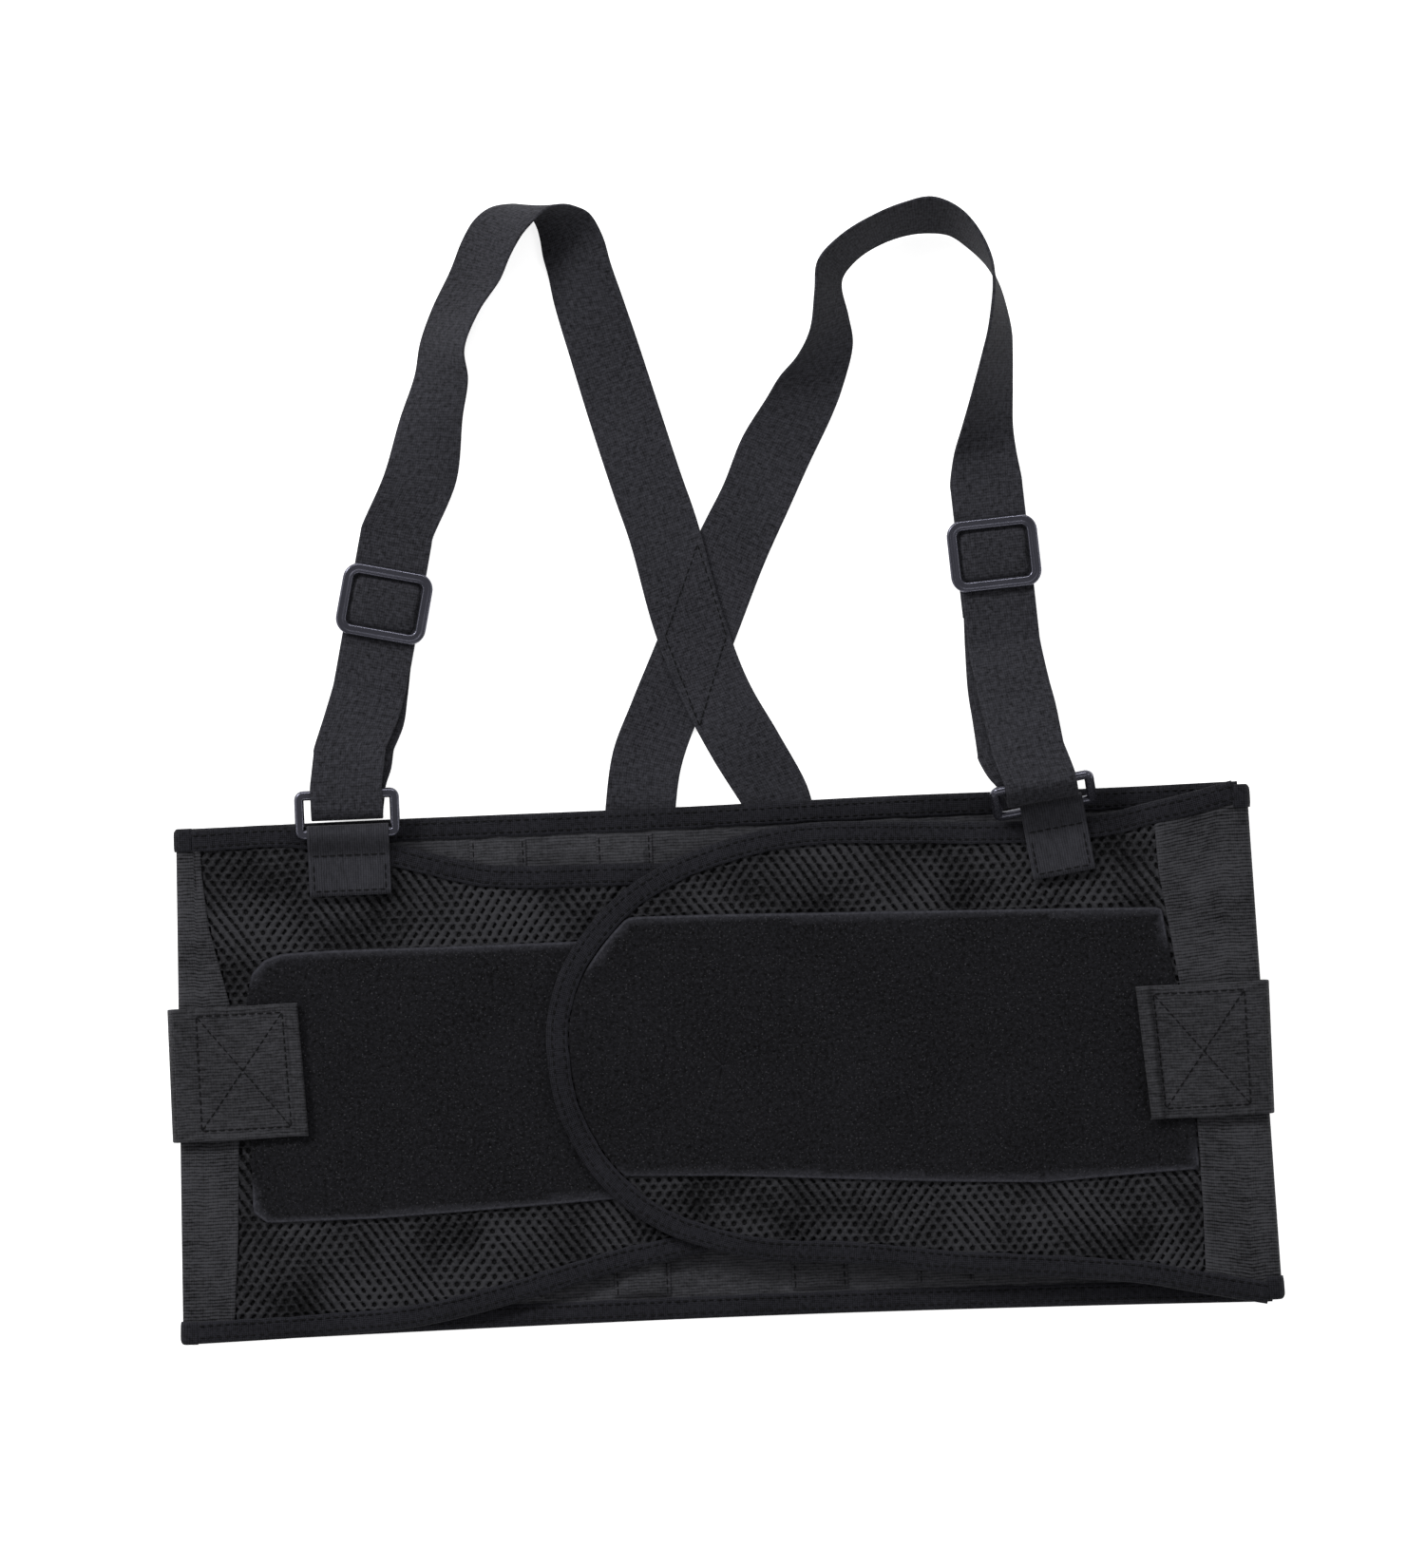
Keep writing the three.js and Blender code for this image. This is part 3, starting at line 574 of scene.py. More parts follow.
def studio():
    scene = bpy.context.scene
    scene.view_settings.view_transform = "Standard"
    world = bpy.data.worlds.new("studio")
    scene.world = world
    world.use_nodes = True
    colour, strength = world.node_tree.nodes["Background"].inputs[:2]
    colour.default_value = (1, 1, 1, 1)
    strength.default_value = 0.3
    for name, place, size, power in LAMPS:
        lamp = bpy.data.lights.new(name, "AREA")
        lamp.shape = "RECTANGLE"
        lamp.size, lamp.size_y = size
        lamp.energy = power
        light = bpy.data.objects.new(name, lamp)
        light.location = place
        light.rotation_euler = (Vector((0, 0.1, 0)) - Vector(place)).to_track_quat("-Z", "Y").to_euler()
        scene.collection.objects.link(light)
    camera_data = bpy.data.cameras.new("camera")
    camera_data.sensor_fit = "VERTICAL"
    camera_data.sensor_height = 36
    camera_data.lens = 36 * CAMERA_AT[2] / VIEW_HEIGHT
    camera_data.clip_end = 50
    camera = bpy.data.objects.new("camera", camera_data)
    camera.location = CAMERA_AT
    camera.rotation_euler = (0, 0, math.radians(CAMERA_TURN))
    scene.collection.objects.link(camera)
    scene.camera = camera
    n = Nodes("floor")
    grain = n.noise(n.add("ShaderNodeTexCoord").outputs["Object"], 3, 2.0)
    n.finish(
        n.blend(grain, (0.93, 0.93, 0.93, 1), (0.95, 0.95, 0.95, 1)), Roughness=0.8, Emission_Strength=0.7,
        Emission_Color=(1, 1, 1, 1),
    )
    mesh = bpy.data.meshes.new("floor")
    mesh.from_pydata(FLOOR, [], [[0, 1, 2, 3]])
    mesh.materials.append(n.material)
    floor = bpy.data.objects.new("floor", mesh)
    scene.collection.objects.link(floor)


studio()


# Sewn tape, knitted mesh, hooks
def tape_profile(low, high):
    """The middle line of a tape folded round an edge: how far outside the edge, and its height."""
    inner = 0.8 - BINDING
    return curve(
        [
            [inner + 0.5, low - 0.5], [inner + 3, low - 0.6], [-2.5, low - 0.62], [-0.4, low - 0.35],
            [0.45, low + 0.35], [0.6, (low + high) / 2], [0.45, high - 0.35], [-0.4, high + 0.35],
            [-2.5, high + 0.62], [inner + 3, high + 0.6], [inner, high + 0.48],
        ],
        3,
    )


def tape(name, run, low, high):
    """Binding tape folded round an edge, a little wavy on its upper side."""
    step = 2.0
    line = spaced(curve(run, 8), step)
    profile = tape_profile(low, high)
    along = np.arange(len(line)) * step
    grid = np.zeros((len(line), len(profile), 3))
    for j, (out, z) in enumerate(profile):
        grid[:, j, 2] = z
        if z > high:
            out = out + (0.16 * np.sin(along / 5.3 + j * 0.25) + 0.12 * np.sin(along / 2.1 + 1.0))
            grid[:, j, 2] += 0.1 * np.sin(along / 3.7 + j * 0.4)
        grid[:, j, :2] = offset(line, out)
    return slab(name, grid[:, ::-1], 0.5, "tape", rim=0.3)


def tape_stitches(name, run, high, body):
    """Two rows of stitches along a binding tape."""
    line = spaced(curve(run, 8), 1.0)
    rows = [level(offset(line, inset), high + 0.88) for inset in (-1.7, 2.6 - BINDING)]
    stitches(name, rows, body, "binding_tape", length=2.5, gap=1.1, radius=0.3)


def knit(name, shown, low, high):
    """The face of a spacer mesh: rows of holes in a brick pattern, each in a ring of looped yarn."""
    a, b = 0.6 * PITCH_Y, 0.4 * PITCH_Y
    r, c = np.meshgrid(np.arange(-40, 41), np.arange(-56, 57), indexing="ij")
    centres = np.column_stack([((c + 0.5 * (r % 2)) * PITCH_X).ravel(), (r * PITCH_Y).ravel()]).astype(float)
    centres = centres[shown(centres)]
    half = PITCH_X / 2
    corner = np.array([[0, a], [-half, b], [-half, -b], [0, -a], [half, -b], [half, b]])
    outer = (centres[:, None] + corner[None]).reshape(-1, 2)
    shared, back = np.unique(np.round(outer, 3), axis=0, return_inverse=True)
    back = back.reshape(-1, 6)
    slant = ripple(*centres.T, 84)
    stretch = np.clip(np.abs(slant) * 5 - 0.35 + 0.5 * ripple(*centres.T, 37), 0, 1)
    diagonal = math.atan2(half, PITCH_Y)
    angle = math.pi / 2 + diagonal * np.sign(slant) * np.clip(stretch * 2, 0, 1)
    turn = np.radians(np.array([90, 150, 210, 270, 330, 390]))
    hole = 1.2
    long = hole + 0.66 * stretch
    short = hole - 0.42 * stretch
    jitter = RNG.uniform(0.9, 1.08, len(centres))
    flat = np.zeros((len(centres), 6, 2))
    lean = angle[:, None] - math.pi / 2
    px = np.cos(turn)[None] * (short * jitter)[:, None]
    py = np.sin(turn)[None] * (long * jitter)[:, None]
    flat[:, :, 0] = px * np.cos(lean) - py * np.sin(lean)
    flat[:, :, 1] = px * np.sin(lean) + py * np.cos(lean)
    flat += centres[:, None]
    between = np.abs(np.round(shared[:, 0] / half) % 2)
    dip = np.round((shared[:, 1] - a) / PITCH_Y * 5) % 5 == 0
    crest = high - 0.12 + np.where(dip, -0.10, 0.10) + 0.05 * between
    taper = (flat - centres[:, None]) * 0.12
    levels = [
        np.column_stack([shared, crest]),
        level((flat + taper).reshape(-1, 2), high - 0.5),
        level((flat - taper).reshape(-1, 2), low),
    ]
    points = np.vstack(levels)
    x, y = points[:, 0], points[:, 1]
    warp_x = 0.9 * ripple(x, y, 90) + 0.15 * ripple(x, y, 11)
    warp_y = 0.9 * ripple(y + 40, x, 80) + 0.15 * ripple(y, x, 13)
    swell = 0.3 * ripple(x, y, 55) + 0.12 * ripple(x, y, 19)
    points = points + np.column_stack([warp_x, warp_y, swell - 0.15])
    first, second = len(shared), len(shared) + len(centres) * 6
    ring = np.arange(len(centres) * 6).reshape(-1, 6)
    after = np.roll(ring, -1, axis=1)
    top = np.stack([back, np.roll(back, -1, axis=1), first + after, first + ring], -1).reshape(-1, 4)
    wall = np.stack([first + ring, first + after, second + after, second + ring], -1).reshape(-1, 4)
    # Rim is 1 on the yarn crests and 0 down the hole walls. The mesh look uses it to paint the crests lighter
    # as a painted highlight and the walls darker as painted shade.
    mask = np.zeros(len(points))
    mask[:first] = 1
    return build(name, points, np.vstack([top, wall]).tolist(), "mesh", rim=mask)


def hooks(name, outline, top, pitch, body, slot, node):
    """A hook patch facing down: a woven base, and rows of small bent hooks under it."""
    outline = np.asarray(outline, float)
    base = cloth(name + "_base", outline, top - 0.35, top, "hook", step=6, edge=0.3)
    places = staggered(outline, pitch, pitch)
    places = places[away(places, outline) > 1.2]
    places += RNG.uniform(-0.12, 0.12, places.shape)
    path = np.array([[0, 0, -0.3], [0.02, 0, -0.62], [0.2, 0, -0.78], [0.42, 0, -0.66]])
    thick = np.array([0.17, 0.14, 0.12, 0.07])
    sides = 4
    turn = np.arange(sides) * math.pi / 2
    shape = []
    for k, (p, w) in enumerate(zip(path, thick)):
        lie = min(k, 2) / 2
        wide = w * np.cos(turn)
        shape.append(p + np.column_stack([wide * (1 - 0.6 * lie), w * np.sin(turn), -wide * 0.6 * lie]))
    shape = np.vstack(shape)
    points, faces = [], []
    for i, (px, py) in enumerate(places):
        flip = 1 if i % 2 else -1
        points.append(shape * [flip, flip, 1] + [px, py, top])
        faces += [face[::-1] for face in tube(len(path), sides, i * len(shape))]
    teeth = build(name + "_hooks", np.vstack(points), faces, "hook")
    ride(base, body, slot, node)
    ride(teeth, body, slot)


def moulded(size, ridge):
    """A moulded rectangular loop with rounded bars and a shallow groove along its upper side."""
    bar, thick = size["bar"], size["thick"]
    w, h = size["width"] / 2 - bar / 2, size["height"] / 2 - bar / 2
    r = max(size["corner"] - bar / 2, 1.2)
    line = []
    for cx, cy, start in ((w - r, h - r, 0), (r - w, h - r, 90), (r - w, r - h, 180), (w - r, r - h, 270)):
        for t in np.radians(np.linspace(start, start + 90, 9)):
            line.append((cx + r * math.cos(t), cy + r * math.sin(t), math.cos(t), math.sin(t)))
    section = []
    for t in np.linspace(0, 2 * math.pi, 32, endpoint=False):
        c, s = math.cos(t), math.sin(t)
        o, z = math.copysign(abs(c) ** 0.92, c), math.copysign(abs(s) ** 0.92, s)
        groove = ridge * math.exp(-((o / 0.45) ** 2)) if s > 0 else 0
        section.append((o * bar / 2, z * thick / 2 - groove))
    points = [(x + nx * o, y + ny * o, z) for x, y, nx, ny in line for o, z in section]
    m = len(section)
    k = np.arange(len(line) * m).reshape(len(line), m)
    quads = np.stack([k, np.roll(k, -1, 0), np.roll(np.roll(k, -1, 0), -1, 1), np.roll(k, -1, 1)], -1)
    return np.array(points), quads.reshape(-1, 4).tolist()


def rounded_bar(length, wide, thick, height=0.0):
    """A bar along X with rounded section and ends."""
    turn = np.linspace(0, 2 * math.pi, 16, endpoint=False)
    power = 2 / 3.0
    section = np.column_stack([
        np.sign(np.cos(turn)) * np.abs(np.cos(turn)) ** power * wide / 2,
        np.sign(np.sin(turn)) * np.abs(np.sin(turn)) ** power * thick / 2,
    ])
    ends = [(0.5, 0.6), (0.492, 0.85), (0.475, 0.97), (0.45, 1.0)]
    stops = [(-s, f) for s, f in ends] + ends[::-1]
    points = [(s * length, y * f, z * f + height) for s, f in stops for y, z in section]
    return np.array(points), tube(len(stops), len(section))


# Back panel
def build_back():
    top, bottom = curve(BACK_TOP, 6), curve(BACK_BOTTOM, 6)
    outline = np.vstack([top, bottom])
    seams = [np.array([[x + s, -97], [x + s, 99.5]]) for x in POCKETS for s in (-SEAM_X, SEAM_X)]
    panel = cloth(
        "back_cloth", outline, *PANEL_Z, "ribbed", step=4.0, edge=0.9,
        lift=lambda x, y: 0.12 * ripple(x, y, 70),
    )
    ride(panel, "back", "ribbed_elastic", "back_panel")
    for name, run in (("top", BACK_TOP), ("bottom", BACK_BOTTOM)):
        ride(tape(f"back_{name}_tape", run, *PANEL_Z), "back", "binding_tape", f"back_{name}_binding")
        tape_stitches(f"back_{name}_stitching", run, PANEL_Z[1], "back")
    for i, x in enumerate(POCKETS):
        base = PANEL_Z[1] + 0.5
        section = [
            [-12, base], [-SEAM_X, base - 0.05], [-9.6, base + 0.25], [-8.2, base + 1.2], [-5, base + 1.5],
            [0, base + 1.6], [5, base + 1.5], [8.2, base + 1.2], [9.6, base + 0.25], [SEAM_X, base - 0.05],
            [12, base],
        ]
        across = curve(section, 3)
        rows = np.linspace(*POCKET_Y, 67)
        flat = np.clip(np.minimum(rows - POCKET_Y[0], POCKET_Y[1] - rows) / 5, 0.12, 1)[:, None]
        grid = np.zeros((len(rows), len(across), 3))
        grid[:, :, 0] = x + across[None, :, 0] + 0.15 * np.sin(rows / 17 + i)[:, None]
        grid[:, :, 1] = rows[:, None]
        grid[:, :, 2] = base + (across[None, :, 1] - base) * flat + 0.08 * np.sin(rows / 6.0 + i)[:, None]
        pocket = slab(f"pocket_cloth_{i + 1}", grid, 0.55, "ribbed", rim=0.3)
        ride(pocket, "back", "ribbed_elastic", f"stay_pocket_{i + 1}")
    rows = [level(spaced(seam, 2.0), PANEL_Z[1] + 0.85) for seam in seams]
    stitches("pocket_stitching", rows, "back", "ribbed_elastic", radius=0.22)
    for i in range(1, 5):
        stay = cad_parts[f"stay_{i}"]
        stay.data.materials.clear()
        stay.data.materials.append(LOOKS["stay"])
    corners = [[-21.5, -31], [21.5, -31], [21.5, 35], [-21.5, 35]]
    patch = cloth("anchor_cloth", corners, 0, 1.2, "webbing", step=1.6, edge=0.5)
    ride(patch, "back", "webbing", "anchor_patch")


build_back()


# Fronts
TAPE_TURN = [
    [9.0, 1.35], [4, 1.5], [0.6, 1.35], [-0.5, 0.6], [-0.7, 0], [-0.5, -0.6], [0.6, -1.35], [4, -1.5],
    [8, -1.35],
]
STRAP_END = [
    [-26, -1.65], [-12, -1.6], [0, -1.55], [2.6, -1.7], [4.0, -3.35], [2.6, -5.0], [0, -5.25], [-12, -5.2],
    [-26, -5.2],
]
STRAP_HUMP = [
    [-12.2, 0.2], [-10.8, 0.45], [-9.2, 1.35], [-6, 2.0], [-2, 2.25], [2, 2.25], [6, 2.0], [9.2, 1.35],
    [10.8, 0.45], [12.2, 0.2],
]
FRONTS = {
    "left": {
        "side": -1, "run": LEFT_EDGE, "pull_y": 5, "end": 179, "hook_to": 203, "hem": 0.5, "bulge": 6,
        "down": 26.5, "ring_at": (-155.5, 105.6), "turn": 0, "tilt": 0, "shift": 0, "skew": 0.14,
        "tab_width": 35, "join": 4, "end_shift": 0.8,
        "slider_at": (-136, 203), "slider_turn": -12.5, "lean": 2.6,
        "loop": [
            [18, -4.4, 3.5], [10, -3.8, 3.15], [3, -3.3, 1.6], [-3, -3.3, 0.7], [-8, -2.6, 0], [-10.4, 0, 0],
            [-8, 2.6, 0], [-3, 3.3, 0], [3, 3.2, 0], [10, 2.3, 0], [18, 0.5, 0],
        ],
        "strap": [
            [-168.8, 141.4, 14.5, -137.8, 141.4, 14.5], [-164, 155.5, 10, -133, 151.5, 10],
            [-159.4, 169.3, 6.3, -129.1, 162.6, 6.3], [-158.7, 172.2, 6.3, -128.4, 165.5, 6.3],
            [-154.0, 193.45, 6.3, -123.7, 186.75, 6.3], [-145.1, 233.7, 6.3, -114.8, 227, 6.3],
            [-144.4, 236.6, 6.3, -114.2, 229.9, 6.3], [-134, 258, 6.3, -103, 254, 7.5],
            [-126, 282, 4, -99, 281, 16], [-119, 300, 2, -96, 297, 21], [-116, 314, 1, -97, 310, 24],
            [-110, 329, 1, -90, 326, 23], [-102, 344, 1, -80.5, 339, 22.5], [-96, 357.5, 1, -76, 348.5, 22],
            [-90.5, 365.8, 1, -70.8, 357, 24], [-84, 370.3, 1, -66.3, 362, 25.5],
            [-76.5, 371.5, 1, -61.8, 366.2, 26.3], [-71.2, 370.9, 0.9, -57.4, 368.6, 26.8],
        ],
        "inner": [
            [-165.1, 141.4, 9.75, -134.1, 141.4, 9.75], [-160.4, 155, 5.9, -129.9, 151, 5.9],
            [-157.1, 168.7, 2.95, -127.9, 162.3, 2.95], [-156.6, 171.7, 2.95, -127.4, 165.3, 2.95],
            [-153.7, 192.6, 2.95, -124.4, 186.1, 2.95],
        ],
        "behind": [
            [-66.5, 366.5, 0.9, -51.5, 369.3, 26.3], [-64, 361.5, 0.9, -46, 368, 23.5],
            [-62.8, 356, 1.0, -41, 365.3, 19], [-62, 349, 1.0, -36, 356, 13.0],
            [-60, 340, 0.9, -33, 344, 9.5], [-58, 328, 0.7, -29, 331, 5.0], [-52, 304, 0.8, -23, 311, 1.1],
            [-45, 277, 0.85, -16, 286, 0.85], [-36, 245, 1.5, -7, 254, 1.0], [-30, 225, 2.3, -1, 234, 2.3],
            [-21, 186, 2.3, 8, 195, 2.3], [-10, 155, 2.3, 18, 164, 2.3], [2, 130, 1.6, 30, 141, 2.1],
            [13, 111, 0.7, 41, 119, 0.9], [18, 102, 0.66, 44, 108, 0.66],
        ],
        "hang": ((-23, 200, 5), (-96.4, 178, 5)),
        "side_width": 0.036,
        "lower_length": 0.175,
        "upper_length": 0.485,
    },
    "right": {
        "side": 1, "run": RIGHT_EDGE, "pull_y": -2, "end": 180, "hook_to": 200, "hem": 2.0, "bulge": 4.8,
        "down": 29.5, "ring_at": (145.3, 104.3), "turn": 8.5, "tilt": 50, "shift": -2.8, "skew": -0.2,
        "tab_width": 27, "join": 5, "end_shift": -1.2,
        "slider_at": (125.5, 213.5), "slider_turn": 4, "lean": 4.5,
        "loop": [
            [15.5, -8.6, -9.4], [7.5, -4.7, -8.6], [3.4, -3.2, -7.2], [0.6, -4.4, -5.4], [-3.2, -7.8, -3.8],
            [-6.7, -8, -3.2], [-7.1, -4.5, -3.2], [-4.5, -0.2, -3.2], [-2.6, 2.2, -3.2], [-0.7, 3.35, -3.2],
            [1.5, 3.1, -3.2], [8, 0.1, -3.2], [15.5, -3.5, -3],
        ],
        "strap": [
            [120.6, 128.4, 27.7, 151, 133, 27.7], [117.6, 143.4, 21, 148.8, 148, 21],
            [115.4, 155.5, 14.9, 146.4, 159.5, 14.9], [112.7, 174.5, 6.3, 143.6, 176.7, 6.3],
            [112.5, 177.5, 6.3, 143.4, 179.7, 6.3], [111.0, 199.6, 6.3, 141.9, 201.8, 6.3],
            [108.1, 240.3, 6.3, 139, 242.5, 6.3], [107.9, 243.3, 6.3, 138.8, 245.5, 6.3],
            [110, 256, 9.5, 137, 257, 4.6], [114, 268, 18, 136, 268, 3], [119, 283, 24, 136.5, 284, 2],
            [124, 299, 27, 137, 299, 1.4], [126.6, 308, 28.6, 137, 308, 1],
            [128.7, 319, 29.7, 135.2, 318.5, 0.9], [129.8, 328.5, 30.3, 132.4, 328.5, 0.9],
        ],
        "inner": [
            [114.4, 127.3, 22.6, 144.4, 131.8, 22.6], [113, 142.3, 16.6, 143.6, 146.9, 16.6],
            [111.7, 154.6, 11.2, 141.8, 159.6, 11.2], [111.4, 174.3, 2.95, 141.3, 176.4, 2.95],
            [111.4, 177.4, 2.95, 141.3, 179.5, 2.95], [111.5, 198.5, 2.95, 141.4, 200.6, 2.95],
        ],
        "behind": [
            [129.2, 338.5, 30.3, 128, 337, 0.9], [124, 351.5, 29.3, 120.3, 345, 0.9],
            [116, 361, 28.3, 112.5, 350.6, 0.9], [105, 366, 27.5, 104, 352, 0.9],
            [93, 364, 27.5, 95, 351.6, 0.9], [81, 359.7, 27.8, 84.5, 348.8, 0.9],
            [66, 351.5, 28.2, 73.5, 343, 0.9], [55.5, 341, 28.6, 66, 335, 0.9],
            [53.6, 328, 28.5, 65, 330, 0.9], [51, 312, 26, 67.5, 318, 0.9], [45, 301, 19, 69, 306, 0.9],
            [36.8, 292.5, 12, 64, 288, 0.9], [31, 284, 6, 59, 276, 0.8], [20, 268, 1.2, 48, 255, 0.7],
            [11, 248, 0.7, 39, 237, 0.7], [0, 228, 0.7, 27, 213, 0.7], [-20, 183, 0.7, 9, 172, 0.7],
            [-32, 157, 0.7, -5, 146, 0.7], [-41, 136, 0.7, -12, 128, 0.7], [-45, 114, 0.7, -15, 112, 0.7],
            [-46, 102, 0.66, -16, 102, 0.66],
        ],
        "hang": ((38, 200, 5), (90.3, 184.3, 5)),
        "side_width": 0.048,
        "lower_length": 0.21,
        "upper_length": 0.53,
    },
}


def front_outline(name, inset):
    """The mesh part of the front panel: the edge run moved inwards, and the border with the side elastic."""
    side = FRONTS[name]["side"]
    run = offset(spaced(curve(FRONTS[name]["run"], 6), 2.5), -inset)
    border = border_x(name, run[:, 1])
    keep = run[:, 0] * side < border * side
    run = run[keep]
    last, first = run[-1], run[0]
    ys = np.linspace(last[1], first[1], 40)[1:-1]
    edge = np.column_stack([border_x(name, ys), ys])
    return np.vstack([run, edge])


def fold_profile(name):
    """Middle line of the side elastic, from the front panel round the fold to the back panel."""
    middle, back = sum(FRONT_Z[name]) / 2, sum(PANEL_Z) / 2
    rise = (middle - back) / 2
    return [
        [-4.8, middle], [-2.8, middle - 0.02], [0.6, middle - 0.25 * rise], [1.9, middle - rise],
        [0.8, back + 0.25 * rise], [0, back + 0.1], [-2.5, back], [-6.5, back],
    ]


def build_side(name):
    """Side elastic and the ends of the binding tape that go round the fold with it."""
    spec = FRONTS[name]
    side, front = spec["side"], name + "_front"
    middle, back = sum(FRONT_Z[name]) / 2, sum(PANEL_Z) / 2
    turn = curve(fold_profile(name), 5)
    run = spaced(curve(spec["run"], 6), 1.0)
    rows = np.linspace(0, 1, 90)
    lap = 2.2
    start = np.array([-lap, -lap * 0.55, 0.0, 1.5, 5, 10, 20])
    ends = run[run[:, 0] * side > 186]
    ends = ends[np.argsort(ends[:, 0], kind="stable")]
    upper, lower = ends[ends[:, 1] > 0], ends[ends[:, 1] < 0]
    grid = np.zeros((len(rows), len(start) + len(turn), 3))
    for i, v in enumerate(rows):
        y0 = SIDE_Y[0] + (SIDE_Y[1] - SIDE_Y[0]) * v
        xb = abs(border_x(name, y0))
        flat_end = fold_x(y0) - 4.8
        xs = np.clip(xb + start * (flat_end - xb) / 26, 0, flat_end - 0.4)
        xs[:3] = xb + start[:3]
        for j, x in enumerate(xs):
            top = np.interp(side * x, upper[:, 0], upper[:, 1]) - 1.4
            bottom = np.interp(side * x, lower[:, 0], lower[:, 1]) + 1.4
            y = bottom + (top - bottom) * v
            z = middle + 0.75 if j < 3 else middle + (0.35 if j == 3 else 0.1)
            grid[i, j] = side * x, y, z + 0.18 * math.sin(y / 9.0 + x)
        for k, (x, z) in enumerate(turn):
            grid[i, len(start) + k] = side * (x + fold_x(y0)), y0, z
    if side < 0:
        grid = grid[:, ::-1]
    piece = slab(name + "_side_cloth", grid, 1.3, "side", rim=0.6)
    span = (side * HINGE_X, 0, back), (side * HINGE_X, 0, middle)
    bend(piece, "back", front, *span, "side_elastic", name + "_side_elastic")
    for label, y0, sign in (("top", 109.6, 1), ("bottom", -109.2, -1)):
        outer = curve(TAPE_TURN, 3)
        line = turn[2:-3]
        tangent = np.gradient(line, axis=0)
        tangent /= np.linalg.norm(tangent, axis=1)[:, None]
        normal = np.column_stack([-tangent[:, 1], tangent[:, 0]])
        wrap = np.zeros((len(line), len(outer), 3))
        for i, ((x, z), (nx, nz)) in enumerate(zip(line, normal)):
            for j, (down, out) in enumerate(outer):
                y = y0 - sign * down
                wrap[i, j] = side * (x + nx * out + fold_x(y)), y, z + nz * out
        if side * sign < 0:
            wrap = wrap[:, ::-1]
        piece = slab(f"{name}_fold_tape_{label}", wrap, 0.5, "tape", rim=0.3)
        bend(piece, "back", front, *span, "binding_tape")


def tab_path(name):
    """Middle line of the pull strap: distance from the middle, and height. Then where its tab begins."""
    spec = FRONTS[name]
    tab_low = FRONT_Z[name][1] + 2.5
    middle = tab_low + 0.8
    reach = fold_x(spec["pull_y"]) + spec["bulge"]
    rise = (middle - 0.75) / 2
    end = spec["end"]
    under = [[21.9, 0.6], [80, 0.6], [150, 0.6], [210, 0.6], [fold_x(spec["pull_y"]) - 4, 0.62]]
    wrap = [[reach - 2.4, 1.15], [reach, 0.75 + rise], [reach - 2.2, middle - 0.4], [reach - 5.5, middle]]
    flat = [[x, middle] for x in (reach - 12, 205, 190, end + 6.5, end + 5.2, end + 2.6, end + 0.5, end)]
    return curve(under + wrap + flat, 6), (len(under) + 2) * 6


